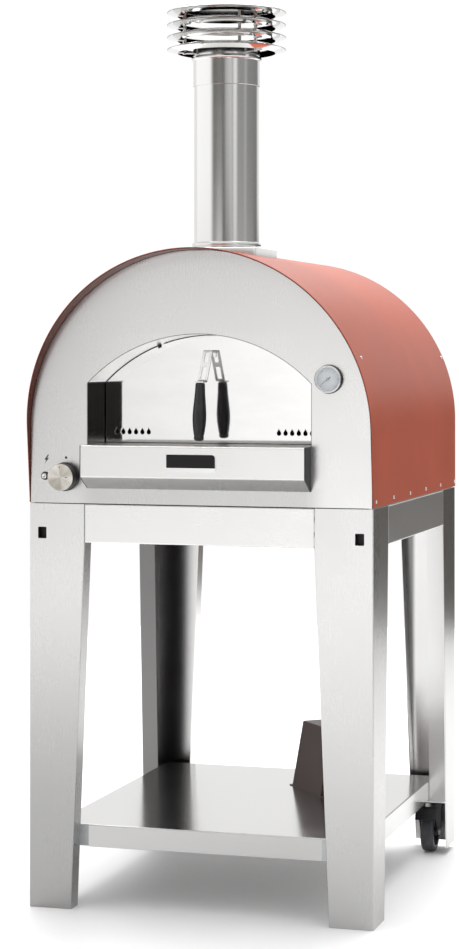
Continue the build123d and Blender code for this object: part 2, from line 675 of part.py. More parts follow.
def ledge():
    """Folded mantle in front of the mouth. Its top runs in to the hearth."""
    y_out = FRONT - LEDGE_REACH
    t = LEDGE_SHEET
    low = HEARTH - LEDGE_FACE
    foot = low - LEDGE_SLOPE_DROP
    outside = outline((y_out, HEARTH), (FRONT, HEARTH), (FRONT, foot), (FRONT - 4, foot), (y_out, low))
    inside = outline((y_out + t, HEARTH - t), (FRONT + 1, HEARTH - t), (FRONT + 1, foot + t),
                     (FRONT - 3, foot + t), (y_out + t, low + t * 0.4))
    half = MOUTH_HALF - SHEET
    shell = along_x(outside, -half, half) - along_x(inside, -half - 1, half + 1)
    edge = shell.edges().filter_by(Axis.X).filter_by_position(Axis.Y, y_out - 0.1, y_out + 0.1)
    shell = fillet(edge, t)
    shell += box(-half, half, FRONT - 1, THROAT, HEARTH - t, HEARTH)
    parts["ledge"] = shell
    cap = along_x(outside, half, half + SHEET)
    parts["ledge_ends"] = Compound(children=[cap, mirrored(cap)])


def nameplate():
    """Blank plate on the ledge, with round corners."""
    z = HEARTH - 37.5
    plate = Pos(0, z) * RectangleRounded(PLATE_W, PLATE_H, 3.0)
    y = FRONT - LEDGE_REACH
    parts["nameplate"] = along_y(plate, y - PLATE_THICK, y)


def side_screw(y, z):
    """Pan head screw through the right wall of the shell."""
    angle = math.asin(max(0.0, z - SPRING) / HALF)
    surface = HALF * math.cos(angle)
    head = rod_x(0, SCREW_HEAD, 0, 0, SCREW_R)
    head = chamfer(head.edges().group_by(Axis.X)[-1], SCREW_HEAD * 0.5)
    return Pos(surface, y, z) * Rot(0, -math.degrees(angle), 0) * head


def shell_screws():
    """Screws along the foot of the shell, and one near each end of its sides."""
    group = []
    for step in range(SCREW_COUNT):
        group.append(side_screw(FRONT + SCREW_FIRST + step * SCREW_PITCH, STAND_HEIGHT + SCREW_UP))
    for y in (FRONT + SIDE_DOT_EDGE, SHELL_BACK - SIDE_DOT_EDGE):
        group.append(side_screw(y, STAND_HEIGHT + SIDE_DOT_UP))
    group += [mirrored(screw) for screw in group]
    parts["shell_screws"] = Compound(children=group)


# ---------------------------------------------------------------- door

def vent():
    """Flame-shaped hole, drawn round its own middle."""
    r = VENT_WIDTH / 2
    low = -VENT_HEIGHT / 2 + r
    tip = VENT_HEIGHT / 2
    right = Spline((r, low), (r * 0.55, low + r * 1.15), (-r * 0.1, tip), tangents=((0, 1), (-0.25, 1)))
    left = Spline((-r * 0.1, tip), (-r * 0.62, low + r * 1.2), (-r, low), tangents=((-0.2, -1), (0, -1)))
    base = ThreePointArc((-r, low), (0, low - r), (r, low))
    return make_face([right, left, base])


def door():
    skin_back = DOOR_FACE + DOOR_SKIN
    foot = HEARTH + DOOR_LIFT
    skin = along_y(mouth(DOOR_CLEAR, foot), DOOR_FACE, skin_back)
    pan = along_y(mouth(DOOR_CLEAR + DOOR_LAP, foot + DOOR_LAP), skin_back, DOOR_FACE + DOOR_THICK)
    flame = vent()
    for side in (-1, 1):
        for step in range(VENT_COUNT):
            x = side * (VENT_FIRST + step * VENT_PITCH)
            hole = along_y(Pos(x, HEARTH + VENT_UP) * flame, DOOR_FACE - 1, THROAT)
            skin -= hole
            pan -= hole
        middle = NOTCH_FROM + NOTCH_WIDTH / 2
        radius = (MOUTH_HALF ** 2 + MOUTH_RISE ** 2) / (2 * MOUTH_RISE)
        edge = MOUTH_TOP - radius + math.sqrt(radius ** 2 - middle ** 2) - DOOR_CLEAR
        low, high = sorted((side * NOTCH_FROM, side * (NOTCH_FROM + NOTCH_WIDTH)))
        skin -= box(low, high, DOOR_FACE - 1, skin_back + 1, edge - NOTCH_DEPTH, edge + 20)
    parts["door_panel"] = skin
    parts["door_back"] = pan


def door_handle():
    """Slotted strap, sloping out and down to a turned grip on a tab."""
    top = HEARTH + STRAP_TOP_UP
    t = STRAP_SHEET
    x0 = HANDLE_X - STRAP_W / 2
    x1 = HANDLE_X + STRAP_W / 2
    y_top = DOOR_FACE - STRAP_TOP_OUT
    y_foot = DOOR_FACE - STRAP_FOOT_OUT
    z_foot = top - STRAP_DROP
    y_tab = y_foot - STRAP_TAB
    side = outline(
        (DOOR_FACE, top), (y_top, top), (y_foot, z_foot), (y_tab, z_foot), (y_tab, z_foot - t),
        (y_foot + t, z_foot - t), (y_top + t * 0.8, top - t), (DOOR_FACE - t, top - t),
        (DOOR_FACE - t, top - 16), (DOOR_FACE, top - 16),
    )
    strap = along_x(side, x0, x1)
    slope = math.hypot(y_top - y_foot, STRAP_DROP)
    lean = math.degrees(math.atan2(y_top - y_foot, STRAP_DROP))
    for start, end in ((0.08, 0.38), (0.52, 0.92)):
        middle = (start + end) / 2
        cut = extrude(RectangleRounded(STRAP_W * 0.45, (end - start) * slope, 3.0), amount=6, both=True)
        place = Pos(HANDLE_X, y_top + (y_foot - y_top) * middle + 1, top - STRAP_DROP * middle)
        strap -= place * Rot(90 - lean, 0, 0) * cut
    y_grip = y_tab + 14.0
    strap -= rod_z(HANDLE_X, y_grip, z_foot - 10, z_foot + 10, GRIP_SCREW_D / 2)
    parts["door_bracket"] = strap

    under = z_foot - t
    profile = Spline(
        (GRIP_TOP_D / 2, 0), (GRIP_TOP_D / 2 + 1.5, -GRIP_LENGTH * 0.2), (GRIP_MID_D / 2, -GRIP_LENGTH * 0.58),
        (GRIP_FOOT_D / 2 + 1.5, -GRIP_LENGTH * 0.88), (GRIP_FOOT_D / 2, -GRIP_LENGTH + 5))
    foot_arc = ThreePointArc((GRIP_FOOT_D / 2, -GRIP_LENGTH + 5), (GRIP_FOOT_D / 2 - 2.5, -GRIP_LENGTH + 1.2),
                             (GRIP_FOOT_D / 2 - 6, -GRIP_LENGTH))
    closing = Polyline((GRIP_FOOT_D / 2 - 6, -GRIP_LENGTH), (0, -GRIP_LENGTH), (0, 0), (GRIP_TOP_D / 2, 0))
    section = Plane.XZ * make_face([profile, foot_arc, closing])
    grip = revolve(section, Axis.Z)
    place = Pos(HANDLE_X, y_grip, under - 0.8) * Rot(-GRIP_LEAN, 0, 0)
    grip = place * grip
    grip -= box(HANDLE_X - 40, HANDLE_X + 40, y_grip - 40, y_grip + 40, under, under + 20)
    grip -= rod_z(HANDLE_X, y_grip, under - 18, under + 1, GRIP_SCREW_D / 2)
    parts["door_grip"] = grip
    screw = rod_z(HANDLE_X, y_grip, under - 16, z_foot + 0.5, GRIP_SCREW_D / 2 - 0.1)
    screw += rod_z(HANDLE_X, y_grip, z_foot, z_foot + 3.2, GRIP_SCREW_D * 0.9)
    screw = chamfer(screw.edges().group_by(Axis.Z)[-1], 0.8)
    parts["grip_screw"] = screw


# ---------------------------------------------------------------- thermometer

def thermometer():
    y = FRONT
    case = rod_y(GAUGE_X, y - 3, y, GAUGE_Z, GAUGE_FLANGE_R)
    case += rod_y(GAUGE_X, y - GAUGE_DEPTH, y, GAUGE_Z, GAUGE_CASE_R)
    case = fillet(case.edges().filter_by(GeomType.CIRCLE).group_by(Axis.Y)[0], 1.2)
    pocket = GAUGE_CASE_R - GAUGE_RIM
    case -= rod_y(GAUGE_X, y - GAUGE_DEPTH - 1, y - GAUGE_DEPTH + 9, GAUGE_Z, pocket)
    tip = CHAMBER_FRONT + GAUGE_STEM_IN
    case += rod_y(GAUGE_X, y - 3, tip, GAUGE_Z, GAUGE_STEM_R)
    parts["thermometer_case"] = case
    floor = y - GAUGE_DEPTH + 9
    hub = 1.5
    dial = rod_y(GAUGE_X, floor - 1, floor, GAUGE_Z, pocket)
    dial += rod_y(GAUGE_X, floor - 4.5, floor, GAUGE_Z, hub)
    parts["thermometer_dial"] = dial
    blade = outline((-7, -1.1), (-7, 1.1), (POINTER_LENGTH, 0.35), (POINTER_LENGTH, -0.35))
    pointer = along_y(blade, -0.4, 0.4) + rod_y(0, -0.6, 0.6, 0, 3.0)
    pointer -= rod_y(0, -2, 2, 0, hub + 0.05)
    place = Pos(GAUGE_X, floor - 3.2, GAUGE_Z) * Rot(0, -POINTER_REST, 0)
    parts["thermometer_pointer"] = place * pointer
    glass_out = y - GAUGE_DEPTH + 1.0
    parts["thermometer_glass"] = rod_y(GAUGE_X, glass_out, glass_out + 2.0, GAUGE_Z, pocket)


# ---------------------------------------------------------------- gas controls

def control_knob():
    """Round knob with a thin flange and two grooves, on a blind bore."""
    back = FRONT - KNOB_GAP
    face = back - KNOB_DEPTH
    knob = rod_y(KNOB_X, face, back, KNOB_Z, KNOB_FACE_R)
    knob += rod_y(KNOB_X, back - 5, back, KNOB_Z, KNOB_SKIRT_R)
    knob = chamfer(knob.edges().filter_by(GeomType.CIRCLE).group_by(Axis.Y)[0], 1.0)
    for y in (face + 8, face + 14):
        groove = rod_y(KNOB_X, y, y + 1.6, KNOB_Z, KNOB_FACE_R + 3)
        groove -= rod_y(KNOB_X, y - 1, y + 3, KNOB_Z, KNOB_FACE_R - 1)
        knob -= groove
    knob -= rod_y(KNOB_X, back - 17, back + 1, KNOB_Z, SPINDLE_R + SPINDLE_FIT)
    parts["control_knob"] = knob
    parts["valve_spindle"] = rod_y(KNOB_X, back - 15, FRONT + 30, KNOB_Z, SPINDLE_R)


def gas_valve():
    """Brass valve behind the panel, with a blind bore for its spindle."""
    y0 = FRONT + SHEET
    body = rod_y(KNOB_X, y0, y0 + 52, KNOB_Z, 12.0)
    body += box(KNOB_X - 14, KNOB_X + 14, y0 + 14, y0 + 44, KNOB_Z - 14, KNOB_Z + 14)
    body -= rod_y(KNOB_X, y0 - 1, y0 + 36, KNOB_Z, SPINDLE_R + SPINDLE_FIT)
    parts["gas_valve"] = body


def gas_pipe_path(points, radii):
    """Round pipe of straight runs and tangent bends."""
    path = FilletPolyline(*points, radius=radii)
    start = Plane(origin=path @ 0, z_dir=path % 0)
    return sweep(start * Circle(PIPE_R), path=path)


def gas_pipes():
    """Supply from the back inlet to the valve, and feed from the valve to the burner."""
    z_in = STAND_HEIGHT + INLET_UP
    y0 = FRONT + SHEET + 29
    supply = gas_pipe_path([
        (INLET_X, SHELL_BACK - 6, z_in), (INLET_X, y0, z_in), (KNOB_X - 14, y0, z_in)], PIPE_BEND * 0.6)
    nut_face = along_y(RegularPolygon(9, 6, major_radius=False), REAR_PANEL + SHEET, REAR_PANEL + SHEET + 9)
    supply += Pos(INLET_X, 0, z_in) * nut_face
    parts["gas_supply_pipe"] = supply
    x_run = KNOB_X
    end_y = CHAMBER_BACK + SHEET + 22
    feed_z = HEARTH + BURNER_UP
    y_valve = FRONT + SHEET + 52
    feed = gas_pipe_path([
        (x_run, y_valve, KNOB_Z), (x_run, end_y, KNOB_Z), (x_run, end_y, feed_z),
        (BURNER_X, end_y, feed_z), (BURNER_X, CHAMBER_BACK - 30, feed_z)], PIPE_BEND * 0.6)
    parts["burner_pipe"] = feed


def burner():
    """Tube burner beside the left wall, with a row of ports and two feet."""
    y0 = CHAMBER_FRONT + BURNER_FRONT
    y1 = y0 + BURNER_LENGTH
    z = HEARTH + BURNER_UP
    tube = rod_y(BURNER_X, y0, y1, z, BURNER_R)
    tube -= rod_y(BURNER_X, y0 + 3, y1 - 3, z, BURNER_R - BURNER_WALL)
    tube -= rod_y(BURNER_X, y1 - 4, y1 + 1, z, PIPE_R)
    ports = 20
    pitch = (BURNER_LENGTH - 60) / (ports - 1)
    for step in range(ports):
        y = y0 + 30 + step * pitch
        tube -= Pos(BURNER_X, y, z) * Rot(0, 40, 0) * Pos(0, 0, BURNER_R) * Cylinder(1.8, 12)
    for y in (y0 + 40, y1 - 60):
        foot = box(BURNER_X - 18, BURNER_X + 18, y, y + 20, HEARTH, HEARTH + BURNER_UP)
        foot -= rod_y(BURNER_X, y - 1, y + 21, z, BURNER_R)
        tube += foot
    joint = rod_y(BURNER_X, y1, CHAMBER_BACK - 30, z, PIPE_R + 3)
    joint -= rod_y(BURNER_X, y1 - 1, CHAMBER_BACK - 29, z, PIPE_R)
    parts["burner"] = tube + joint


def igniter():
    """Push-button spark igniter: bezel and barrel in the panel, button inside."""
    y = FRONT
    bore = IGNITER_BUTTON_R + IGNITER_FIT
    barrel = rod_y(IGNITER_X, y, y + 40, IGNITER_Z, IGNITER_BUTTON_R + 1.5)
    barrel += rod_y(IGNITER_X, y - 4, y, IGNITER_Z, IGNITER_BEZEL_R)
    barrel = fillet(barrel.edges().filter_by(GeomType.CIRCLE).group_by(Axis.Y)[0], 1.5)
    barrel -= rod_y(IGNITER_X, y - 5, y + 30, IGNITER_Z, bore)
    parts["igniter_body"] = barrel
    button = rod_y(IGNITER_X, y - IGNITER_OUT, y + 18, IGNITER_Z, IGNITER_BUTTON_R)
    parts["igniter_button"] = fillet(button.edges().group_by(Axis.Y)[0], 1.8)


# ---------------------------------------------------------------- flue

def tube_z(outer, inner, z0, z1):
    """Upright tube on the flue's axis."""
    return rod_z(0, FLUE_Y, z0, z1, outer) - rod_z(0, FLUE_Y, z0 - 1, z1 + 1, inner)


def flue_box():
    """Square collar saddled on the crown, with the duct that comes up through the insulation."""
    half = FLUE_BOX / 2
    saddle = box(-half, half, FLUE_Y - half, FLUE_Y + half, CROWN - 40, FLUE_BOX_TOP)
    saddle -= box(-half + SHEET, half - SHEET, FLUE_Y - half + SHEET, FLUE_Y + half - SHEET,
                  CROWN - 41, FLUE_BOX_TOP - SHEET)
    saddle -= along_y(arch(HALF, SHELL_FOOT), FRONT - FAR, FRONT + FAR)
    duct_low = SPRING + math.sqrt((CHAMBER_HALF + SHEET) ** 2 - FLUE_PIPE_R ** 2) - SHEET
    outer = FLUE_BORE_R + FLUE_SHEET
    saddle -= rod_z(0, FLUE_Y, CROWN - 60, CROWN + 60, outer)
    saddle += tube_z(outer, FLUE_BORE_R, duct_low, PIPE_FOOT + 30)
    parts["flue_box"] = saddle


def flue_pipe():
    """Chimney pipe with a rolled ring at its foot."""
    inner = FLUE_PIPE_R - FLUE_SHEET
    pipe = tube_z(FLUE_PIPE_R, inner, PIPE_FOOT, COLLAR_FOOT + 40)
    ring = rod_z(0, FLUE_Y, PIPE_FOOT, PIPE_FOOT + FLUE_RING_H, FLUE_RING_R)
    ring = fillet(ring.edges().filter_by(GeomType.CIRCLE), FLUE_RING_H * 0.45)
    ring -= rod_z(0, FLUE_Y, PIPE_FOOT - 1, PIPE_FOOT + FLUE_RING_H + 1, inner + 0.2)
    pipe += ring
    foot = tube_z(FLUE_RING_R - 4, FLUE_BORE_R + FLUE_SHEET, FLUE_BOX_TOP, PIPE_FOOT)
    parts["flue_pipe"] = pipe + foot


def flue_collar():
    """Socket at the top of the pipe, with a rolled bead."""
    inner = FLUE_PIPE_R
    collar = tube_z(COLLAR_R, inner, COLLAR_FOOT, COLLAR_TOP)
    z1 = COLLAR_TOP - BEAD_DOWN
    bead = rod_z(0, FLUE_Y, z1 - BEAD_H, z1, BEAD_R)
    bead = fillet(bead.edges().filter_by(GeomType.CIRCLE), BEAD_H * 0.45)
    bead -= rod_z(0, FLUE_Y, z1 - BEAD_H - 1, z1 + 1, inner + 0.5)
    parts["flue_collar"] = collar + bead


def cap_ring(z):
    """Folded hoop with a sharp outer edge."""
    t = CAP_SHEET
    section = outline(
        (CAP_INNER_R, CAP_HALF_H), (CAP_TIP_R, 0.4), (CAP_TIP_R, -0.4), (CAP_INNER_R, -CAP_HALF_H),
        (CAP_INNER_R, -CAP_HALF_H + t), (CAP_TIP_R - 3.2 * t, 0), (CAP_INNER_R, CAP_HALF_H - t),
    )
    return Pos(0, FLUE_Y, z) * revolve(Plane.XZ * section, Axis.Z)


def rod_places():
    for step in range(CAP_ROD_COUNT):
        angle = math.radians(CAP_ROD_TURN + step * 360 / CAP_ROD_COUNT)
        yield math.degrees(angle), CAP_ROD_RING * math.cos(angle), FLUE_Y + CAP_ROD_RING * math.sin(angle)


def cap():
    """Four hoops under a lid, held on three rods with a flat arm at each hoop."""
    hoops = [cap_ring(CAP_FIRST + step * CAP_PITCH) for step in range(CAP_COUNT)]
    parts["cap_rings"] = Compound(children=hoops)
    top = CAP_FIRST + (CAP_COUNT - 1) * CAP_PITCH + CAP_HALF_H
    lid = rod_z(0, FLUE_Y, top, top + CAP_SHEET, CAP_INNER_R + 2)
    parts["cap_lid"] = lid
    rods = []
    for degrees, x, y in rod_places():
        rod = rod_z(x, y, CAP_FIRST - CAP_HALF_H - 5, top, CAP_ROD_R)
        reach = CAP_INNER_R - CAP_ROD_RING + 2
        for step in range(CAP_COUNT):
            z = CAP_FIRST + step * CAP_PITCH
            arm = box(0, reach, -CAP_ARM / 2, CAP_ARM / 2, -CAP_HALF_H - 2, -CAP_HALF_H)
            rod += Pos(x, y, z) * Rot(0, 0, degrees) * arm
        hook = box(COLLAR_R - CAP_ROD_RING, 0, -CAP_ARM / 2, CAP_ARM / 2, -CAP_HALF_H - 3, -CAP_HALF_H)
        rod += Pos(x, y, CAP_FIRST) * Rot(0, 0, degrees) * hook
        rods.append(rod)
    parts["cap_rods"] = Compound(children=rods)


def main():
    legs()
    aprons()
    stand_bolts()
    shelf_brackets(shelf())
    bottle_stop()
    castors()
    roof_shell()
    front_panel()
    rear_panel()
    base_tray()
    mouth_liner()
    throat_plate()
    chamber()
    hearth_tiles()
    insulation_blanket()
    ledge()
    nameplate()
    shell_screws()
    door()
    door_handle()
    thermometer()
    control_knob()
    gas_valve()
    gas_pipes()
    burner()
    igniter()
    flue_box()
    flue_pipe()
    flue_collar()
    cap()
    os.makedirs("parts", exist_ok=True)
    for name, solid in parts.items():
        export_step(solid, "parts/" + name + ".step")
        print(name)


main()
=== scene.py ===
"""Outdoor pizza oven on a steel stand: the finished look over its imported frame."""
import math

import bmesh
import bpy
from bpy.props import FloatProperty, FloatVectorProperty, IntProperty, PointerProperty
from mathutils import Matrix, Vector


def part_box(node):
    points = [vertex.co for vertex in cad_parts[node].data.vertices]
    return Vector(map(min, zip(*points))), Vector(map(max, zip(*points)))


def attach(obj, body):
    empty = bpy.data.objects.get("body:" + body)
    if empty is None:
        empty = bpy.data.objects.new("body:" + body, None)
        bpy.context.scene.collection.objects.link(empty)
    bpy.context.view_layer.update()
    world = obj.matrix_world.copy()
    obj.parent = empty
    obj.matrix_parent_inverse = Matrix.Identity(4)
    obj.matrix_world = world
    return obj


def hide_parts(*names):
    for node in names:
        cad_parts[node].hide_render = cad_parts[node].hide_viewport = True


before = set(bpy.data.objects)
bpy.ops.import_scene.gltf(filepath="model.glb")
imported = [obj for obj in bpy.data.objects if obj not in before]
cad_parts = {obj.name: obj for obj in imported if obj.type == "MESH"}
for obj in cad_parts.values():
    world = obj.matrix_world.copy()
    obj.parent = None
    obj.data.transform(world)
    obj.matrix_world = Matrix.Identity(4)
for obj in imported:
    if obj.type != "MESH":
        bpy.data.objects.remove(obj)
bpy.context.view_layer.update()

bl_info = {
    "name": "Pizza oven on a stand",
    "version": (1, 0, 0),
    "blender": (4, 5, 0),
    "location": "3D View > Sidebar > Oven",
    "description": "Builds an arched outdoor pizza oven, its stand, flue, door and castors",
    "category": "Object",
}

MM = 0.001


def corner(node, high):
    """Lowest or highest corner of a frame node, in millimetres."""
    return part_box(node)[1 if high else 0] / MM


HALF = corner("roof_shell", True).x
FRONT = corner("front_panel", False).y
BACK = corner("apron_rear", True).y
SHELL_BACK = corner("roof_shell", True).y
CROWN = corner("roof_shell", True).z
SHELL_FOOT = corner("roof_shell", False).z
SPRING = CROWN - HALF
STAND_TOP = corner("leg_front_left", True).z
APRON_LOW = corner("apron_front", False).z
HEARTH = corner("ledge", True).z
MOUTH_TOP = corner("mouth_liner", True).z - 2.0
JAMB_TOP = HEARTH + 137.0
MOUTH_HALF = 260.0
THROAT = corner("mouth_liner", True).y
DOOR_FACE = corner("door_panel", False).y
DOOR_FOOT = corner("door_panel", False).z
SHELF_TOP = corner("shelf", True).z
SHELF_LOW = corner("shelf", False).z
REAR_FOOT = corner("leg_rear_left", False).z
REAR_PANEL = corner("rear_panel", False).y
FLUE_Y = (corner("flue_pipe", False).y + corner("flue_pipe", True).y) / 2
BOX_TOP = CROWN + 8.0
PIPE_FOOT = BOX_TOP + 4.0
COLLAR_FOOT = corner("flue_collar", False).z
COLLAR_TOP = corner("flue_collar", True).z
CAP_FIRST = corner("cap_rings", False).z + 8.0
CAP_PITCH = 28.4
CAP_ROD_TURN = 88.7
CAP_ROD_CIRCLE = 99
LID_TOP = corner("cap_lid", True).z
KNOB = (corner("control_knob", False) + corner("control_knob", True)) / 2
KNOB_BACK = corner("control_knob", True).y
KNOB_FACE = corner("control_knob", False).y
IGNITER = (corner("igniter_body", False) + corner("igniter_body", True)) / 2
GAUGE = (corner("thermometer_glass", False) + corner("thermometer_glass", True)) / 2
GAUGE_FACE = corner("thermometer_case", False).y
LEDGE_FACE = corner("ledge", False).y
WHEEL = (corner("wheel_right", False) + corner("wheel_right", True)) / 2
HANDLE_X = -4.0
STRAP = (corner("door_bracket", False), corner("door_bracket", True))


# ------------------------------------------------------------------ settings

class OvenSizes(bpy.types.PropertyGroup):
    """Sizes a maker would change, in millimetres."""
    edge: FloatProperty(name="Edge", description="Rounding of cut sheet edges, mm", default=0.45, min=0.05)
    fold: FloatProperty(name="Fold", description="Outside radius of folded sheet, mm", default=2.6, min=1.0)
    sheet: FloatProperty(name="Sheet", description="Thickness of the steel sheet, mm", default=2.0, min=0.5)
    shell: FloatProperty(name="Shell sheet", description="Thickness of the roof shell, mm", default=3.0,
                         min=0.5)
    lean: FloatProperty(name="Lean", description="How far the crown leans out past the front, mm",
                        default=60.0)
    seam: FloatProperty(name="Seam", description="Shadow gap between leg and apron, mm", default=1.8, min=0.0)
    vents: IntProperty(name="Vents", description="Flame-shaped vents at each side of the door", default=6,
                       min=0)
    screws: IntProperty(name="Screws", description="Screws along each foot of the shell", default=6, min=1)
    ticks: IntProperty(name="Ticks", description="Marks on the thermometer dial", default=31, min=2)
    hoops: IntProperty(name="Hoops", description="Hoops of the chimney cap", default=4, min=1)


def colour(name, text, value):
    """Linear RGB colour setting."""
    return FloatVectorProperty(name=name, description=text, subtype="COLOR", size=3, min=0.0, max=1.0,
                               default=value)


class OvenColours(bpy.types.PropertyGroup):
    """Colours a maker would change, linear RGB."""
    paint: colour("Roof paint", "Powder coat of the arched roof", (0.36, 0.076, 0.040))
    steel: colour("Steel", "Brushed stainless sheet", (0.74, 0.735, 0.725))
    polish: colour("Polish", "Mirror-polished stainless", (0.80, 0.795, 0.785))
    stop: colour("Stop paint", "Powder coat of the bottle stop", (0.046, 0.022, 0.018))
    black: colour("Black", "Black plastic of grip and wheels", (0.012, 0.012, 0.014))
    dial: colour("Dial", "Printed face of the thermometer", (0.60, 0.63, 0.66))
    floor: colour("Floor", "Studio floor", (0.96, 0.96, 0.96))


def sizes():
    return bpy.context.scene.oven_sizes


def colours():
    return bpy.context.scene.oven_colours


# ------------------------------------------------------------------ shader maths

class Term:
    """A socket that can be used in ordinary arithmetic."""

    def __init__(self, net, socket):
        self.net = net
        self.socket = socket

    def math(self, operation, *terms):
        return self.net.add("ShaderNodeMath", {"operation": operation}, *terms)

    def __add__(self, other):
        return self.math("ADD", self, other)

    def __sub__(self, other):
        return self.math("SUBTRACT", self, other)

    def __rsub__(self, other):
        return self.math("SUBTRACT", other, self)

    def __mul__(self, other):
        return self.math("MULTIPLY", self, other)

    def __truediv__(self, other):
        return self.math("DIVIDE", self, other)

    def __pow__(self, other):
        return self.math("POWER", self, other)

    __radd__ = __add__
    __rmul__ = __mul__

    def step(self, low, high):
        """0 below low, 1 above high, smooth between."""
        return self.net.add("ShaderNodeMapRange", {"interpolation_type": "SMOOTHSTEP"}, self, low, high, 0.0,
                            1.0)

    def mix(self, first, second):
        """Colour first where this is 0, second where it is 1."""
        return self.net.add("ShaderNodeMix", {"data_type": "RGBA"}, out="Result_Color", Factor_Float=self,
                            A_Color=first, B_Color=second)


class Net:
    """Node tree of one material, or of the studio's surroundings."""

    def __init__(self, name, owner=None, place="Object"):
        self.material = owner or bpy.data.materials.new(name)
        self.material.use_nodes = True
        self.tree = self.material.node_tree if owner is None else owner.node_tree
        self.tree.nodes.clear()
        self.place = self.add("ShaderNodeTexCoord", {}, out=place)

    def feed(self, socket, value):
        if isinstance(value, Term):
            self.tree.links.new(value.socket, socket)
        elif socket.type == "RGBA" and len(value) == 3:
            socket.default_value = (*value, 1.0)
        else:
            socket.default_value = value

    def add(self, kind, settings, *values, out=0, **named):
        """Any node: its settings first, then values or links by order or by name."""
        node = self.tree.nodes.new(kind)
        for key, value in settings.items():
            if key == "stops":
                ramp = node.color_ramp
                while len(ramp.elements) < len(value):
                    ramp.elements.new(0.5)
                for element, (place, shade) in zip(ramp.elements, value):
                    element.position = place
                    element.color = (*shade, 1.0)
            else:
                setattr(node, key, value)
        for socket, value in zip(node.inputs, values):
            self.feed(socket, value)
        for key, value in named.items():
            self.feed(self.find(node.inputs, key), value)
        return Term(self, self.find(node.outputs, out)) if node.outputs else None

    @staticmethod
    def find(sockets, key):
        if isinstance(key, int):
            return sockets[key]
        for socket in sockets:
            if key in (socket.identifier, socket.name, socket.name.replace(" ", "_")):
                return socket
        raise KeyError(key)

    def noise(self, scale, detail=3.0, roughness=0.5, stretch=(1, 1, 1), seed=0.0):
        """Noise over the piece, stretched along its axes."""
        place = self.add("ShaderNodeMapping", {}, Vector=self.place, Scale=stretch,
                         Location=(seed, seed, seed))
        return self.add("ShaderNodeTexNoise", {}, out="Fac", Vector=place, Scale=scale, Detail=detail,
                        Roughness=roughness)

    def axis(self, index):
        """One coordinate of the piece, in metres."""
        return self.add("ShaderNodeSeparateXYZ", {}, self.place, out=index)

    def bump(self, height, strength, distance):
        return self.add("ShaderNodeBump", {}, out="Normal", Height=height, Strength=strength,
                        Distance=distance)

    def finish(self, **shader):
        """Principled surface with these inputs."""
        surface = self.add("ShaderNodeBsdfPrincipled", {}, **shader)
        self.add("ShaderNodeOutputMaterial", {}, Surface=surface)
        return self.material


# ------------------------------------------------------------------ materials

FINISHES = {}


def finish(name):
    """Material by its workshop name, made once."""
    if name not in FINISHES:
        FINISHES[name] = RECIPES[name](name)
    return FINISHES[name]


def brushed(grain, tone=1.0, rough=0.30, soot=0.0, painted_shade_masks=None):
    """Stainless sheet brushed along one axis. grain is the stretch of its lines.

    The last argument takes the net and gives masks with the tones of painted shade and painted dark
    reflections for those parts.
    """
    def recipe(name):
        net = Net(name)
        lines = net.noise(1.0, 4.0, 0.65, grain)
        wide = net.noise(3.0, 2.0, 0.5, (1, 1, 0.4), 7.0)
        patch = net.noise(11.0, 3.0, 0.6, (1, 1, 1), 3.0)
        base = tuple(c * tone for c in colours().steel)
        deep = tuple(c * 0.965 for c in base)
        shade = (lines * 0.55 + wide * 0.45).step(0.25, 0.75).mix(deep, base)
        roughness = lines * 0.05 + patch * 0.06 + (rough - 0.055)
        # Painted shade: each mask darkens the base colour to stand in for shadow and dark reflections.
        for mask, dim in painted_shade_masks(net) if painted_shade_masks else ():
            shade = mask.mix(shade, tuple(c * dim for c in base))
        if soot:
            dirt = net.noise(6.0, 5.0, 0.6, (1, 1, 1), 11.0).step(0.30, 0.75) * soot
            shade = dirt.mix(shade, (0.05, 0.04, 0.035))
            roughness = roughness + dirt * 0.3
        normal = net.bump(lines, 0.02, 0.0003)
        return net.finish(Base_Color=shade, Metallic=1.0, Roughness=roughness, Normal=normal)
    return recipe


def absolute(net, value):
    return net.add("ShaderNodeMath", {"operation": "ABSOLUTE"}, value)


def leg_painted_shade(net):
    """Painted shade and painted dark reflections: front faces darker towards the foot, the left foot darker
    still, side and inner faces darker all over, and painted shadow darkest in the folds by the aprons.
    """
    across, along, up = (net.axis(k) for k in range(3))
    front = 1.0 - along.step((FRONT + 0.5) * MM, (FRONT + 1.5) * MM)
    wide = absolute(net, across)
    side = wide.step((HALF - 1.5) * MM, (HALF - 0.5) * MM) * (1.0 - front)
    inner = (1.0 - side) * (1.0 - front)
    joint = (1.0 - wide.step(0.2675, 0.2695)) * up.step((APRON_LOW - 1) * MM, APRON_LOW * MM) * inner
    foot = front * (1.0 - up.step(0.02, 0.78))
    left = foot * (1.0 - across.step(-0.01, 0.01))
    return (foot, 0.55), (left, 0.42), (side, 0.50), (inner, 0.50), (joint, 0.04)


def rear_leg_painted_shade(net):
    """Painted shade and painted dark reflections: inner faces darker, darkest in the folds that face forward.
    """
    across, along, up = (net.axis(k) for k in range(3))
    side = absolute(net, across).step((HALF - 1.5) * MM, (HALF - 0.5) * MM)
    top, taper, face = 0.828, 0.0483, 0.376
    edge = face - net.add("ShaderNodeMath", {"operation": "MINIMUM"}, up, top) * taper
    lap = 1.0 - (along - edge).step(0.0025, 0.0035)
    near = along.step((BACK - 6) * MM, (BACK - 4) * MM)
    back = near * (1.0 - along.step((BACK - 1.5) * MM, (BACK - 0.5) * MM))
    left = 1.0 - across.step(-0.340, -0.285)
    right = across.step(-0.001, 0.001) * (1.0 - across.step(0.288, 0.300))
    return (side, 0.52), (lap * left * (1.0 - side), 0.24), (back * (left + right) * (1.0 - side), 0.30)


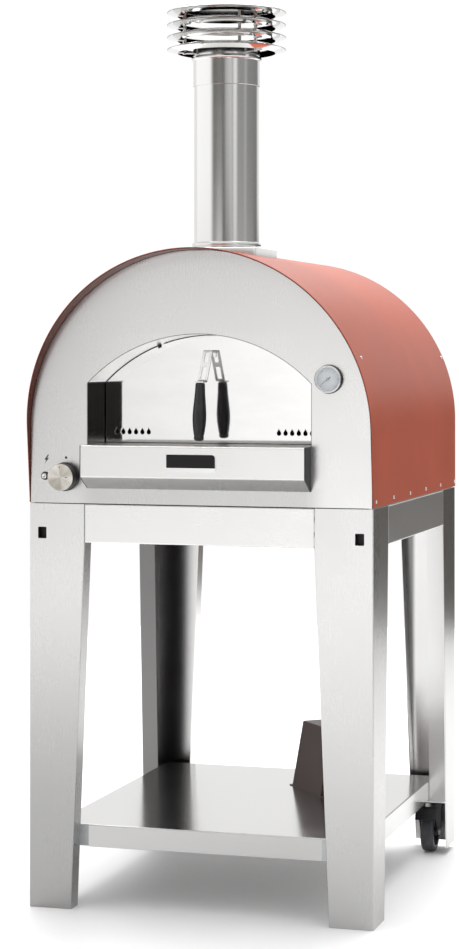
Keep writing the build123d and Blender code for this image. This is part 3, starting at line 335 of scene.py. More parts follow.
def panel_painted_shade(net):
    """Painted shade and painted dark reflections over the front panel: darker on the left, painted shadow
    under the ledge and a painted shadow line round the mouth.
    """
    across, up = net.axis(0), net.axis(2)
    wide = absolute(net, across)
    under = (1.0 - up.step(0.950, 0.972)) * (1.0 - wide.step(0.24, 0.30))
    rise = MOUTH_TOP - JAMB_TOP
    radius = (MOUTH_HALF ** 2 + rise ** 2) / (2 * rise)
    over = up - (MOUTH_TOP - radius) * MM
    reach = (across * across + over * over) ** 0.5
    above = up.step((JAMB_TOP - 0.5) * MM, (JAMB_TOP + 0.5) * MM)
    arch = above * (1.0 - reach.step((radius + 1.2) * MM, (radius + 2.0) * MM))
    jamb = (1.0 - above) * (1.0 - wide.step((MOUTH_HALF + 1.2) * MM, (MOUTH_HALF + 2.0) * MM))
    jamb = jamb * up.step((HEARTH - 1) * MM, HEARTH * MM)
    return (1.0 - across.step(-0.42, -0.05), 0.80), (under, 0.72), (arch + jamb, 0.30)


def jamb_painted_shade(net):
    """Painted shade on the jambs below the arch."""
    return ((1.0 - net.axis(2).step((JAMB_TOP - 3) * MM, (JAMB_TOP + 5) * MM), 0.18),)


def slope_painted_shade(net):
    """Painted shade on the underside of the ledge's nose."""
    return ((1.0 - net.axis(2).step((HEARTH - 74) * MM, (HEARTH - 69) * MM), 0.36),)


def lip_painted_shade(net):
    """Painted shade: lips of the shelf darker than its top."""
    return ((1.0 - net.axis(2).step((SHELF_TOP - 4) * MM, (SHELF_TOP - 1) * MM), 0.72),)


def hoop_with_painted_shade(name):
    """Polished hoop with painted shade on its inner face and a painted dark rim."""
    net = Net(name)
    across, along = net.axis(0), net.axis(1) - FLUE_Y * MM
    reach = (across * across + along * along) ** 0.5 / MM
    level = net.add("ShaderNodeMath", {"operation": "PINGPONG"}, net.axis(2) / MM - CAP_FIRST, CAP_PITCH / 2)
    haze = net.noise(9.0, 4.0, 0.6, (1, 1, 2.5), 5.0)
    shade = haze.step(0.3, 0.7).mix(tuple(c * 0.95 for c in colours().polish), colours().polish)
    # Painted shade: the rim and the inner face are darkened in the base colour.
    rim = reach.step(134.0, 137.5)
    shade = rim.mix(shade, tuple(c * 0.42 for c in colours().polish))
    painted_dark_face = 1.0 - (level + reach * 0.322).step(134.4 * 0.322, 134.9 * 0.322)
    shade = painted_dark_face.mix(shade, (0.045, 0.043, 0.042))
    return net.finish(Base_Color=shade, Metallic=1.0, Roughness=haze * 0.06 + 0.09)


def polished(rough=0.06, tone=1.0):
    """Mirror polish with a faint haze and wipe marks."""
    def recipe(name):
        net = Net(name)
        haze = net.noise(7.0, 4.0, 0.6, (1, 1, 2.5), 5.0)
        base = tuple(c * tone for c in colours().polish)
        shade = haze.step(0.3, 0.7).mix(tuple(c * 0.95 for c in base), base)
        wave = net.noise(2.2, 1.0, 0.4, (1, 1, 1), 9.0)
        return net.finish(Base_Color=shade, Metallic=1.0, Roughness=haze * 0.05 + rough,
                          Normal=net.bump(wave, 0.04, 0.004))
    return recipe


def painted(shade, rough=0.42, grit=900.0, coat=0.15, gloss=0.5, inside=1.0):
    """Powder coat: fine orange peel, faint tone change and dust.

    inside is the tone of painted shade on the roof's inner face.
    """
    def recipe(name):
        net = Net(name)
        base = shade()
        peel = net.noise(grit, 2.0, 0.5)
        cloud = net.noise(4.0, 3.0, 0.55, (1, 1, 1), 2.0)
        dust = net.noise(60.0, 4.0, 0.7, (1, 1, 1), 8.0).step(0.62, 0.80) * 0.05
        body = cloud.step(0.3, 0.7).mix(tuple(c * 0.93 for c in base), tuple(min(1, c * 1.05) for c in base))
        body = dust.mix(body, (0.55, 0.50, 0.46))
        # Painted shade: the roof's inner face darkened in the base colour.
        if inside < 1.0:
            across = net.axis(0)
            rise = net.add("ShaderNodeMath", {"operation": "MAXIMUM"}, net.axis(2) - SPRING * MM, 0.0)
            reach = (across * across + rise * rise) ** 0.5
            under = 1.0 - reach.step((HALF - 2.0) * MM, (HALF - 1.0) * MM)
            body = under.mix(body, tuple(c * inside for c in base))
        return net.finish(Base_Color=body, Roughness=peel * 0.10 + cloud * 0.05 + (rough - 0.07),
                          Normal=net.bump(peel, 0.10, 0.0004), Coat_Weight=coat, Coat_Roughness=0.35,
                          Specular_IOR_Level=gloss)
    return recipe


def plain_metal(shade, rough, fleck=300.0, metallic=1.0):
    """Cast, plated or drawn metal with a small fleck."""
    def recipe(name):
        net = Net(name)
        fine = net.noise(fleck, 3.0, 0.6)
        broad = net.noise(12.0, 3.0, 0.6, (1, 1, 1), 4.0)
        body = (fine * 0.4 + broad * 0.6).step(0.3, 0.7).mix(tuple(c * 0.82 for c in shade), shade)
        return net.finish(Base_Color=body, Metallic=metallic,
                          Roughness=fine * 0.12 + broad * 0.1 + (rough - 0.1),
                          Normal=net.bump(fine, 0.08, 0.0004))
    return recipe


def moulded(shade, rough, grit=700.0):
    """Moulded plastic or rubber with a fine grain and rubbed spots."""
    def recipe(name):
        net = Net(name)
        base = shade() if callable(shade) else shade
        grain = net.noise(grit, 2.0, 0.5)
        rub = net.noise(25.0, 4.0, 0.6, (1, 1, 1), 6.0).step(0.45, 0.75)
        body = rub.mix(base, tuple(min(1, c * 1.5 + 0.006) for c in base))
        return net.finish(Base_Color=body, Roughness=grain * 0.12 - rub * 0.06 + rough,
                          Normal=net.bump(grain, 0.12, 0.0003))
    return recipe


def gauge_case(name):
    """Polished bezel on a dull dark can."""
    net = Net(name)
    haze = net.noise(60.0, 3.0, 0.6)
    can = net.axis(1).step((GAUGE_FACE + 2.6) * MM, (GAUGE_FACE + 3.4) * MM)
    shade = can.mix(tuple(c * 0.9 for c in colours().polish), (0.07, 0.07, 0.072))
    return net.finish(Base_Color=shade, Metallic=1.0, Roughness=haze * 0.06 + 0.12)


def turned_face(name):
    """Lathe-turned aluminium: fine rings round the knob's axis, and soft opposite sheens painted into the
    colour as painted highlights.
    """
    net = Net(name)
    across = net.axis(0) - KNOB.x * MM
    up = net.axis(2) - KNOB.z * MM
    radius = (across * across + up * up) ** 0.5
    ring = net.add("ShaderNodeMath", {"operation": "SINE"}, radius * 14000.0)
    angle = net.add("ShaderNodeMath", {"operation": "ARCTAN2"}, up, across)
    painted_sheen = net.add("ShaderNodeMath", {"operation": "COSINE"}, angle * 2.0 + 1.2) * 0.5 + 0.5
    fine = net.add("ShaderNodeMath", {"operation": "COSINE"}, angle * 6.0 + 0.6) * 0.5 + 0.5
    # Painted highlights: lighter and darker sectors by angle stand in for the turned face's sheen.
    body = (painted_sheen * 0.6 + fine * 0.4).step(0.0, 1.1).mix((0.54, 0.50, 0.44), (0.80, 0.77, 0.71))
    return net.finish(Base_Color=body, Metallic=1.0, Roughness=0.30 + ring * 0.06,
                      Normal=net.bump(ring, 0.12, 0.0002))


def fireclay(name):
    net = Net(name)
    grain = net.noise(220.0, 5.0, 0.7)
    soot = net.noise(5.0, 4.0, 0.6, (1, 1, 1), 3.0).step(0.45, 0.75) * 0.5
    speck = net.noise(70.0, 2.0, 0.5, (1, 1, 1), 12.0).step(0.62, 0.70) * 0.35
    body = grain.step(0.3, 0.7).mix((0.50, 0.42, 0.33), (0.62, 0.54, 0.44))
    body = speck.mix(body, (0.25, 0.19, 0.15))
    body = soot.mix(body, (0.13, 0.10, 0.08))
    return net.finish(Base_Color=body, Roughness=0.92, Normal=net.bump(grain, 0.35, 0.001))


def fibre(name):
    net = Net(name)
    wool = net.noise(160.0, 6.0, 0.75, (1, 1, 0.3))
    body = wool.step(0.3, 0.7).mix((0.74, 0.73, 0.69), (0.88, 0.87, 0.84))
    return net.finish(Base_Color=body, Roughness=0.95, Normal=net.bump(wool, 0.6, 0.003))


def clear_glass(name):
    net = Net(name)
    smear = net.noise(90.0, 3.0, 0.6)
    return net.finish(Base_Color=(1.0, 1.0, 1.0), Roughness=smear * 0.04 + 0.01, Alpha=smear * 0.02 + 0.10,
                      IOR=1.45)


def printed_dial(name):
    """Dial with a paler middle and a soft darker rim."""
    net = Net(name)
    across = net.axis(0) - GAUGE.x * MM
    up = net.axis(2) - GAUGE.z * MM
    radius = (across * across + up * up) ** 0.5
    fleck = net.noise(900.0, 2.0, 0.5)
    body = (radius / 0.028 + fleck * 0.1).step(0.35, 1.05).mix(colours().dial, (0.46, 0.50, 0.55))
    return net.finish(Base_Color=body, Roughness=fleck * 0.08 + 0.34, Specular_IOR_Level=0.4)


def studio_floor(name):
    net = Net(name)
    speck = net.noise(40.0, 3.0, 0.5)
    base = colours().floor
    body = speck.mix(tuple(c * 0.985 for c in base), base)
    return net.finish(Base_Color=body, Roughness=speck * 0.05 + 0.55)


# Apart from the sooted steel, the tone numbers make each copy of the brushed steel lighter or darker as
# painted light and shade for how light falls on it: lightest on the panel, liner, ledge and front aprons,
# darkest on the side aprons and the shelf.
RECIPES = {
    "steel upright": brushed((1100, 1100, 3), 1.14, 0.28, 0.0, leg_painted_shade),
    "steel rear": brushed((1100, 1100, 3), 1.10, 0.22, 0.0, rear_leg_painted_shade),
    "steel panel": brushed((1100, 1100, 3), 1.24, 0.28, 0.0, panel_painted_shade),
    "steel across": brushed((3, 1100, 1100), 1.24, 0.28),
    "steel ledge": brushed((3, 1100, 1100), 1.20, 0.26, 0.0, slope_painted_shade),
    "steel along": brushed((1100, 3, 1100), 0.92),
    "steel shelf": brushed((900, 3, 900), 0.90, 0.16, 0.0, lip_painted_shade),
    "steel sooted": brushed((300, 5, 300), 0.62, 0.45, 0.75),
    "steel liner": brushed((900, 3, 900), 1.22, 0.20, 0.0, jamb_painted_shade),
    "steel flue": brushed((260, 260, 260), 0.95, 0.17),
    "polished door": polished(0.035),
    "polished trim": polished(0.09),
    "polished cap": polished(0.11, 0.97),
    "polished hoop": hoop_with_painted_shade,
    "zinc sheet": plain_metal((0.52, 0.53, 0.54), 0.42, 120.0),
    "zinc screw": plain_metal((0.62, 0.62, 0.61), 0.34),
    "brass": plain_metal((0.66, 0.46, 0.18), 0.36),
    "copper": plain_metal((0.70, 0.36, 0.22), 0.36),
    "roof paint": painted(lambda: colours().paint, 0.40, 900.0, 0.0, 0.14, 0.22),
    "stop paint": painted(lambda: colours().stop, 0.42, 900.0, 0.0, 0.3),
    "black paint": painted(lambda: (0.016, 0.016, 0.018), 0.42, 900.0, 0.0, 0.25),
    "knob side": painted(lambda: (0.030, 0.029, 0.030), 0.34, 900.0, 0.0, 0.3),
    "plate ground": painted(lambda: (0.008, 0.008, 0.009), 0.42, 900.0, 0.0, 0.25),
    "mark ink": painted(lambda: (0.030, 0.030, 0.032), 0.5, 900.0, 0.0),
    "white ink": painted(lambda: (0.78, 0.79, 0.80), 0.5, 900.0, 0.0),
    "black grip": moulded(lambda: colours().black, 0.30),
    "black plastic": moulded(lambda: colours().black, 0.38),
    "tyre rubber": moulded((0.045, 0.046, 0.052), 0.62, 380.0),
    "turned face": turned_face,
    "gauge case": gauge_case,
    "fireclay": fireclay,
    "ceramic fibre": fibre,
    "clear glass": clear_glass,
    "dial print": printed_dial,
    "studio floor": studio_floor,
}


# ------------------------------------------------------------------ outlines, in millimetres

def arc(cx, cy, radius, start, end, count):
    """Points on an arc, angles in degrees."""
    turn = [math.radians(start + (end - start) * k / count) for k in range(count + 1)]
    return [(cx + radius * math.cos(a), cy + radius * math.sin(a)) for a in turn]


def ring(cx, cy, radius, count=48):
    return arc(cx, cy, radius, 0, 360, count)[:-1]


def softened(points, radius, count=5, closed=False):
    """Corners of a path turned into arcs. radius is one number, or one for each point."""
    total = len(points)
    radii = radius if isinstance(radius, (list, tuple)) else [radius] * total
    path = []
    for k, point in enumerate(points):
        if (not closed and k in (0, total - 1)) or radii[k] <= 0:
            path.append(tuple(point))
            continue
        here = Vector(point)
        back = (Vector(points[k - 1]) - here).normalized()
        on = (Vector(points[(k + 1) % total]) - here).normalized()
        half = back.angle(on) / 2
        middle = here + (back + on).normalized() * (radii[k] / math.sin(half))
        first = here + back * (radii[k] / math.tan(half)) - middle
        sweep = math.pi - 2 * half
        sign = 1 if first.cross(here + on - middle) > 0 else -1
        for step in range(count + 1):
            turn = Matrix.Rotation(sign * sweep * step / count, 2)
            path.append(tuple(middle + turn @ first))
    return path


def oblong(x0, x1, y0, y1, radius, count=4):
    """Rectangle with round corners."""
    return softened([(x0, y0), (x1, y0), (x1, y1), (x0, y1)], radius, count, closed=True)


def roof_arch(radius, foot, count=96):
    """Open path up one side, over the top and down the other."""
    return [(-radius, foot)] + arc(0, SPRING, radius, 180, 0, count) + [(radius, foot)]


def mouth_path(inset, foot, count=64):
    """Open path round the mouth, from its left foot to its right foot."""
    rise = MOUTH_TOP - JAMB_TOP
    radius = (MOUTH_HALF ** 2 + rise ** 2) / (2 * rise) - inset
    middle = MOUTH_TOP - inset - radius
    half = MOUTH_HALF - inset
    start = math.degrees(math.atan2(JAMB_TOP - middle, -half))
    reach = math.hypot(JAMB_TOP - middle, half)
    path = arc(0, middle, reach, start, 180 - start, count)
    return [(-half, foot)] + path + [(half, foot)]


# ------------------------------------------------------------------ meshes

TO_XZ = Matrix(((1, 0, 0), (0, 0, -1), (0, 1, 0))).to_4x4()     # drawn in X and Z, thick towards -Y
TO_YZ = Matrix(((0, 0, 1), (1, 0, 0), (0, 1, 0))).to_4x4()      # drawn in Y and Z, thick towards +X
TO_XY = Matrix.Identity(4)


def mesh_object(name, verts, faces):
    mesh = bpy.data.meshes.new(name)
    mesh.from_pydata([tuple(c * MM for c in v) for v in verts], [], faces)
    mesh.validate()
    thing = bpy.data.objects.new(name, mesh)
    bpy.context.scene.collection.objects.link(thing)
    return thing


def settle(thing):
    """Modifiers or curve worked into a plain mesh object of the same name."""
    bpy.context.view_layer.update()
    graph = bpy.context.evaluated_depsgraph_get()
    mesh = bpy.data.meshes.new_from_object(thing.evaluated_get(graph))
    mesh.transform(thing.matrix_world)
    name = thing.name
    bpy.data.objects.remove(thing)
    mesh.name = name
    fresh = bpy.data.objects.new(name, mesh)
    bpy.context.scene.collection.objects.link(fresh)
    return fresh


def tidy(thing, merge=0.00001):
    """Doubles merged and faces turned outwards."""
    work = bmesh.new()
    work.from_mesh(thing.data)
    bmesh.ops.remove_doubles(work, verts=work.verts, dist=merge)
    bmesh.ops.dissolve_degenerate(work, edges=work.edges, dist=merge / 4)
    bmesh.ops.recalc_face_normals(work, faces=work.faces)
    work.to_mesh(thing.data)
    work.free()
    return thing


def smooth(thing, angle=35.0):
    for face in thing.data.polygons:
        face.use_smooth = True
    thing.data.set_sharp_from_angle(angle=math.radians(angle))
    return thing


def modifier(thing, kind, **settings):
    made = thing.modifiers.new(kind.title(), kind)
    for key, value in settings.items():
        setattr(made, key, value)
    return made


def eased(thing, width, angle=30.0, segments=2):
    """Small rounding on every edge sharper than angle, with flat faces kept flat."""
    modifier(thing, "BEVEL", width=width * MM, segments=segments, limit_method="ANGLE",
             angle_limit=math.radians(angle), harden_normals=False, use_clamp_overlap=True)
    smooth(thing, 50.0)
    modifier(thing, "WEIGHTED_NORMAL", keep_sharp=True, weight=80)
    return settle(thing)


def shift(x, y, z):
    """Move in millimetres."""
    return Matrix.Translation(Vector((x, y, z)) * MM)


def plate(name, outlines, low, high, matrix=TO_XZ, edge=None):
    """Flat plate with rounded edges between two levels of its normal axis. Inner outlines are holes."""
    edge = sizes().edge if edge is None else edge
    edge = min(edge, (high - low) * 0.49)
    curve = bpy.data.curves.new(name, "CURVE")
    curve.dimensions = "2D"
    curve.fill_mode = "BOTH"
    for outline in outlines:
        spline = curve.splines.new("POLY")
        spline.points.add(len(outline) - 1)
        for point, (u, v) in zip(spline.points, outline):
            point.co = (u * MM, v * MM, 0, 1)
        spline.use_cyclic_u = True
    curve.extrude = ((high - low) / 2 - edge) * MM
    curve.bevel_depth = edge * MM
    curve.bevel_resolution = 1
    curve.offset = -edge * MM
    thing = bpy.data.objects.new(name, curve)
    bpy.context.scene.collection.objects.link(thing)
    middle = (low + high) / 2
    if matrix is TO_XZ:
        place = Matrix.Translation((0, middle * MM, 0))
    elif matrix is TO_YZ:
        place = Matrix.Translation((middle * MM, 0, 0))
    else:
        place = Matrix.Translation((0, 0, middle * MM))
    thing.matrix_world = place @ matrix
    thing = tidy(settle(thing))
    smooth(thing, 50.0)
    modifier(thing, "WEIGHTED_NORMAL", keep_sharp=True, weight=80)
    return settle(thing)


def loft(name, sections, closed=False, cap=False):
    """Skin through sections of equal point count, each a list of (x, y, z)."""
    count = len(sections[0])
    verts = [point for section in sections for point in section]
    faces = []
    for row in range(len(sections) - 1):
        for k in range(count if closed else count - 1):
            a = row * count + k
            b = row * count + (k + 1) % count
            faces.append((a, b, b + count, a + count))
    if cap:
        faces.append(tuple(range(len(verts) - count, len(verts))))
    return mesh_object(name, verts, faces)


def thicken(thing, depth, inward=True):
    """Sheet thickness put on a skin, on the side away from or towards its faces' outside."""
    modifier(thing, "SOLIDIFY", thickness=depth * MM, offset=-1.0 if inward else 1.0, use_even_offset=True)
    return settle(thing)


def turned(name, profile, origin, axis="Y", count=64):
    """Profile of (radius, distance along the axis) spun round an axis through origin.

    Axis Y counts towards the front.
    """
    rows = []
    for radius, along in profile:
        rows.append([(radius * math.cos(2 * math.pi * k / count), radius * math.sin(2 * math.pi * k / count),
                      along) for k in range(count)])
    thing = loft(name, rows, closed=True)
    turn = {"Z": TO_XY, "Y": TO_XZ, "X": TO_YZ}[axis]
    thing.data.transform(Matrix.Translation(Vector(origin) * MM) @ turn)
    return smooth(tidy(thing), 32.0)


def joined(name, things):
    """Several meshes made one object."""
    work = bmesh.new()
    for thing in things:
        work.from_mesh(thing.data)
    mesh = bpy.data.meshes.new(name)
    work.to_mesh(mesh)
    work.free()
    for thing in things:
        bpy.data.objects.remove(thing)
    whole = bpy.data.objects.new(name, mesh)
    bpy.context.scene.collection.objects.link(whole)
    return whole


def flipped(thing, name):
    """Mirror copy at the other side, faces outwards again."""
    mesh = thing.data.copy()
    mesh.name = name
    if "custom_normal" in mesh.attributes:
        mesh.attributes.remove(mesh.attributes["custom_normal"])
    mesh.transform(Matrix.Scale(-1, 4, (1, 0, 0)))
    mesh.flip_normals()
    copy = bpy.data.objects.new(name, mesh)
    bpy.context.scene.collection.objects.link(copy)
    smooth(copy, 50.0)
    modifier(copy, "WEIGHTED_NORMAL", keep_sharp=True, weight=80)
    return settle(copy)


def cut(thing, *tools):
    """Tools taken out of a piece, then removed."""
    for tool in tools:
        modifier(thing, "BOOLEAN", operation="DIFFERENCE", solver="EXACT", object=tool)
    name = thing.name
    made = settle(thing)
    for tool in tools:
        bpy.data.objects.remove(tool)
    made.name = name
    return made


def block(name, x0, x1, y0, y1, z0, z1):
    """Cutting block."""
    verts = [(x, y, z) for z in (z0, z1) for y in (y0, y1) for x in (x0, x1)]
    faces = [(0, 2, 3, 1), (4, 5, 7, 6), (0, 1, 5, 4), (2, 6, 7, 3), (0, 4, 6, 2), (1, 3, 7, 5)]
    return mesh_object(name, verts, faces)


def done(thing, material, slot, body, *nodes):
    """Piece given its material, body and the frame nodes it stands for."""
    thing.data.materials.clear()
    thing.data.materials.append(finish(material))
    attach(thing, body)
    if nodes:
        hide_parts(*nodes)
    return thing


def dress(node, material):
    """Frame node kept as it is, with a better material."""
    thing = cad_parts[node]
    if not thing.material_slots:
        thing.data.materials.append(finish(material))
    for holder in thing.material_slots:
        holder.material = finish(material)


# ------------------------------------------------------------------ repeats by Geometry Nodes

def repeat_tree(name, turned_about=False):
    """Node group that repeats its own geometry in a row, or in turns about a point."""
    tree = bpy.data.node_groups.new(name, "GeometryNodeTree")
    face = tree.interface
    face.new_socket("Geometry", in_out="INPUT", socket_type="NodeSocketGeometry")
    face.new_socket("Count", in_out="INPUT", socket_type="NodeSocketInt")
    face.new_socket("Step", in_out="INPUT", socket_type="NodeSocketVector")
    face.new_socket("Centre", in_out="INPUT", socket_type="NodeSocketVector")
    face.new_socket("Material", in_out="INPUT", socket_type="NodeSocketMaterial")
    face.new_socket("Geometry", in_out="OUTPUT", socket_type="NodeSocketGeometry")
    give = tree.nodes.new("NodeGroupInput")
    take = tree.nodes.new("NodeGroupOutput")
    line = tree.nodes.new("GeometryNodeMeshLine")
    line.mode = "OFFSET"
    put = tree.nodes.new("GeometryNodeInstanceOnPoints")
    real = tree.nodes.new("GeometryNodeRealizeInstances")
    coat = tree.nodes.new("GeometryNodeSetMaterial")
    link = tree.links.new
    link(give.outputs["Count"], line.inputs["Count"])
    link(line.outputs[0], put.inputs["Points"])
    link(give.outputs["Geometry"], put.inputs["Instance"])
    last = put.outputs[0]
    if turned_about:
        line.inputs["Offset"].default_value = (0, 0, 0)
        index = tree.nodes.new("GeometryNodeInputIndex")
        scale = tree.nodes.new("ShaderNodeVectorMath")
        scale.operation = "SCALE"
        turn = tree.nodes.new("GeometryNodeRotateInstances")
        turn.inputs["Local Space"].default_value = False
        link(give.outputs["Step"], scale.inputs[0])
        link(index.outputs[0], scale.inputs["Scale"])
        link(last, turn.inputs["Instances"])
        link(scale.outputs[0], turn.inputs["Rotation"])
        link(give.outputs["Centre"], turn.inputs["Pivot Point"])
        last = turn.outputs[0]
    else:
        link(give.outputs["Step"], line.inputs["Offset"])
    link(last, real.inputs[0])
    link(real.outputs[0], coat.inputs["Geometry"])
    link(give.outputs["Material"], coat.inputs["Material"])
    link(coat.outputs[0], take.inputs[0])
    return tree


TREES = {}


def repeated(thing, material, count, step, centre=None):
    """Piece repeated by its modifier, worked into a plain mesh.

    step is mm, or radians when centre is given.
    """
    kind = "Turns about a point" if centre is not None else "Row of copies"
    if kind not in TREES:
        TREES[kind] = repeat_tree(kind, centre is not None)
    tree = TREES[kind]
    made = thing.modifiers.new(kind, "NODES")
    made.node_group = tree
    values = {"Count": count, "Material": finish(material)}
    if centre is None:
        values["Step"] = [c * MM for c in step]
    else:
        values["Step"] = list(step)
        values["Centre"] = [c * MM for c in centre]
    for item in tree.interface.items_tree:
        if item.in_out == "INPUT" and item.name in values:
            made[item.identifier] = values[item.name]
    return settle(thing)


# ------------------------------------------------------------------ stand

LEG_TOP = (133.0, 147.0)
LEG_FOOT = (100.0, 107.0)
LEG_RETURN = 44.0


def leg_section(z, face_y, back):
    """Path round a right leg at one height: fold, front, corner, side, fold."""
    share = max(0.0, min(1.0, (APRON_LOW - z) / APRON_LOW))
    wide = LEG_TOP[0] + (LEG_FOOT[0] - LEG_TOP[0]) * share
    deep = LEG_TOP[1] + (LEG_FOOT[1] - LEG_TOP[1]) * share
    fold = sizes().fold
    path = softened([
        (HALF - wide, face_y + back * LEG_RETURN), (HALF - wide, face_y), (HALF, face_y),
        (HALF, face_y + back * deep), (HALF - LEG_RETURN + 2, face_y + back * deep),
    ], fold, 5)
    return [(x, y, z) for x, y in path]


def leg(name, face_y, back, foot):
    """Right leg of folded sheet."""
    skin = loft(name, [leg_section(z, face_y, back) for z in (foot, APRON_LOW, STAND_TOP)])
    if back < 0:
        skin.data.flip_normals()
    piece = thicken(skin, sizes().sheet)
    tools = []
    if back > 0:
        slot = oblong(HALF - 41, HALF - 21, STAND_TOP - 79, STAND_TOP - 53, 2.0)
        tools.append(plate("slot tool", [slot], face_y - 6, face_y + 6, edge=0.01))
    else:
        tools.append(block("foot tool", 150, HALF - 2.2, 300, face_y - 2.2, -5, SHELF_LOW))
    piece = cut(piece, *tools)
    return eased(piece, 0.35, 40)


def leg_pair(row, face_y, back, foot):
    right = leg(f"leg_{row}_right_skin", face_y, back, foot)
    left = flipped(right, f"leg_{row}_left_skin")
    coat = "steel upright" if row == "front" else "steel rear"
    done(right, coat, "brushed_steel", "oven", f"leg_{row}_right")
    done(left, coat, "brushed_steel", "oven", f"leg_{row}_left")


class OVEN_OT_legs(bpy.types.Operator):
    """Fold the four tapered legs, hook slots in the front pair"""
    bl_idname = "oven.legs"
    bl_label = "Legs"

    def execute(self, context):
        leg_pair("front", FRONT, 1, 0.0)
        leg_pair("rear", BACK, -1, REAR_FOOT)
        mounts = []
        for side in (-1, 1):
            low, high = sorted((side * (HALF - 104), side * (HALF - 2)))
            outline = oblong(low, high, BACK - 117, BACK - 2, 2.0)
            mounts.append(plate("castor_mount", [outline], SHELF_LOW - 3, SHELF_LOW, TO_XY))
        done(joined("castor_mounts", mounts), "steel across", "brushed_steel", "oven")
        liners = []
        for side in (-1, 1):
            x = side * (HALF - 31)
            outer = oblong(x - 11.4, x + 11.4, STAND_TOP - 80.4, STAND_TOP - 51.6, 2.0)
            inner = oblong(x - 10.2, x + 10.2, STAND_TOP - 79.2, STAND_TOP - 52.8, 1.6)
            liners.append(plate("slot_wall", [outer, inner], FRONT + 2.05, FRONT + 20.0, edge=0.3))
            liners.append(plate("slot_back", [outer], FRONT + 20.0, FRONT + 21.2, edge=0.3))
        done(smooth(joined("hook_slot_liners", liners), 50), "black plastic", "black_plastic", "oven")
        # A black strip in the gap between stand and shell, standing in for the shadow in that seam.
        seam_shadow = plate("seam_seal_strip", [oblong(-HALF + 12, HALF - 12, FRONT + 1.2, FRONT + 9.0, 0.8)],
                     STAND_TOP + 0.05, SHELL_FOOT - 0.05, TO_XY, 0.2)
        done(seam_shadow, "black plastic", "black_plastic", "oven")
        return {"FINISHED"}


def apron_path(face, back, low, high, depth):
    return softened([(face + back * depth, high), (face, high), (face, low), (face + back * depth, low)],
                    sizes().fold, 5)


def apron_bar(name, path, half, middle, across):
    """Channel along X, or along Y when across is False."""
    gap = sizes().seam / 2
    ends = (middle - half + gap, middle + half - gap)
    if across:
        sections = [[(end, u, z) for u, z in path] for end in ends]
    else:
        sections = [[(u, end, z) for u, z in path] for end in ends]
    return loft(name, sections)


class OVEN_OT_aprons(bpy.types.Operator):
    """Fold the four aprons that join the legs"""
    bl_idname = "oven.aprons"
    bl_label = "Aprons"

    def execute(self, context):
        side_middle = (FRONT + BACK) / 2
        side_half = (BACK - FRONT) / 2 - LEG_TOP[1]
        places = {
            "front": (FRONT, 1, HALF - LEG_TOP[0], 0.0, True),
            "rear": (BACK, -1, HALF - LEG_TOP[0], 0.0, True),
            "right": (HALF, -1, side_half, side_middle, False),
            "left": (-HALF, 1, side_half, side_middle, False),
        }
        for side, (face, back, half, middle, across) in places.items():
            path = apron_path(face, back, APRON_LOW, STAND_TOP, 28)
            bar = apron_bar(f"apron_{side}_skin", path, half, middle, across)
            tidy(bar)
            face_on(bar, (0, -1, 0) if side == "front" else (0, 1, 0) if side == "rear"
                    else (1, 0, 0) if side == "right" else (-1, 0, 0))
            bar = eased(thicken(bar, sizes().sheet), 0.35, 40)
            grain = "steel across" if across else "steel along"
            done(bar, grain, "brushed_steel", "oven", f"apron_{side}")
        dress("stand_bolts", "zinc screw")
        return {"FINISHED"}


def face_on(thing, direction):
    """Turns a skin's faces over if its largest face looks away from direction."""
    largest = max(thing.data.polygons, key=lambda face: face.area)
    if largest.normal.dot(Vector(direction)) < 0:
        thing.data.flip_normals()


SHELF_X = 357.0
SHELF_Y0 = corner("shelf", False).y
SHELF_Y1 = corner("shelf", True).y


def tray_loop(inset, z):
    radius = max(0.4, 3.0 - inset * 0.3)
    return [(x, y, z) for x, y in oblong(-SHELF_X + inset, SHELF_X - inset, SHELF_Y0 + inset,
                                         SHELF_Y1 - inset, radius)]


class OVEN_OT_shelf(bpy.types.Operator):
    """Fold the shelf, its lips and hems, and give the corner brackets under it their finish"""
    bl_idname = "oven.shelf"
    bl_label = "Shelf"

    def execute(self, context):
        steps = [(12, SHELF_LOW), (2, SHELF_LOW), (0.6, SHELF_LOW + 0.5), (0, SHELF_LOW + 2)]
        steps += [(0, SHELF_TOP - 3), (0.4, SHELF_TOP - 1.5), (1.4, SHELF_TOP - 0.4), (3, SHELF_TOP)]
        tray = loft("shelf_skin", [tray_loop(inset, z) for inset, z in steps], closed=True, cap=True)
        tidy(tray)
        face_on(tray, (0, 0, 1))
        tray = thicken(tray, sizes().sheet)
        lip = [block("lip tool", side * 273.4, side * (SHELF_X + 5), SHELF_Y0 - 3, SHELF_Y0 + 13,
                     SHELF_LOW - 3, SHELF_TOP - 2.4) for side in (-1, 1)]
        for tool in lip:
            tidy(tool)
        tray = cut(tray, *lip)
        tray = eased(tray, 0.3, 40)
        done(tray, "steel shelf", "brushed_steel", "oven", "shelf")
        dress("shelf_brackets", "zinc sheet")
        return {"FINISHED"}


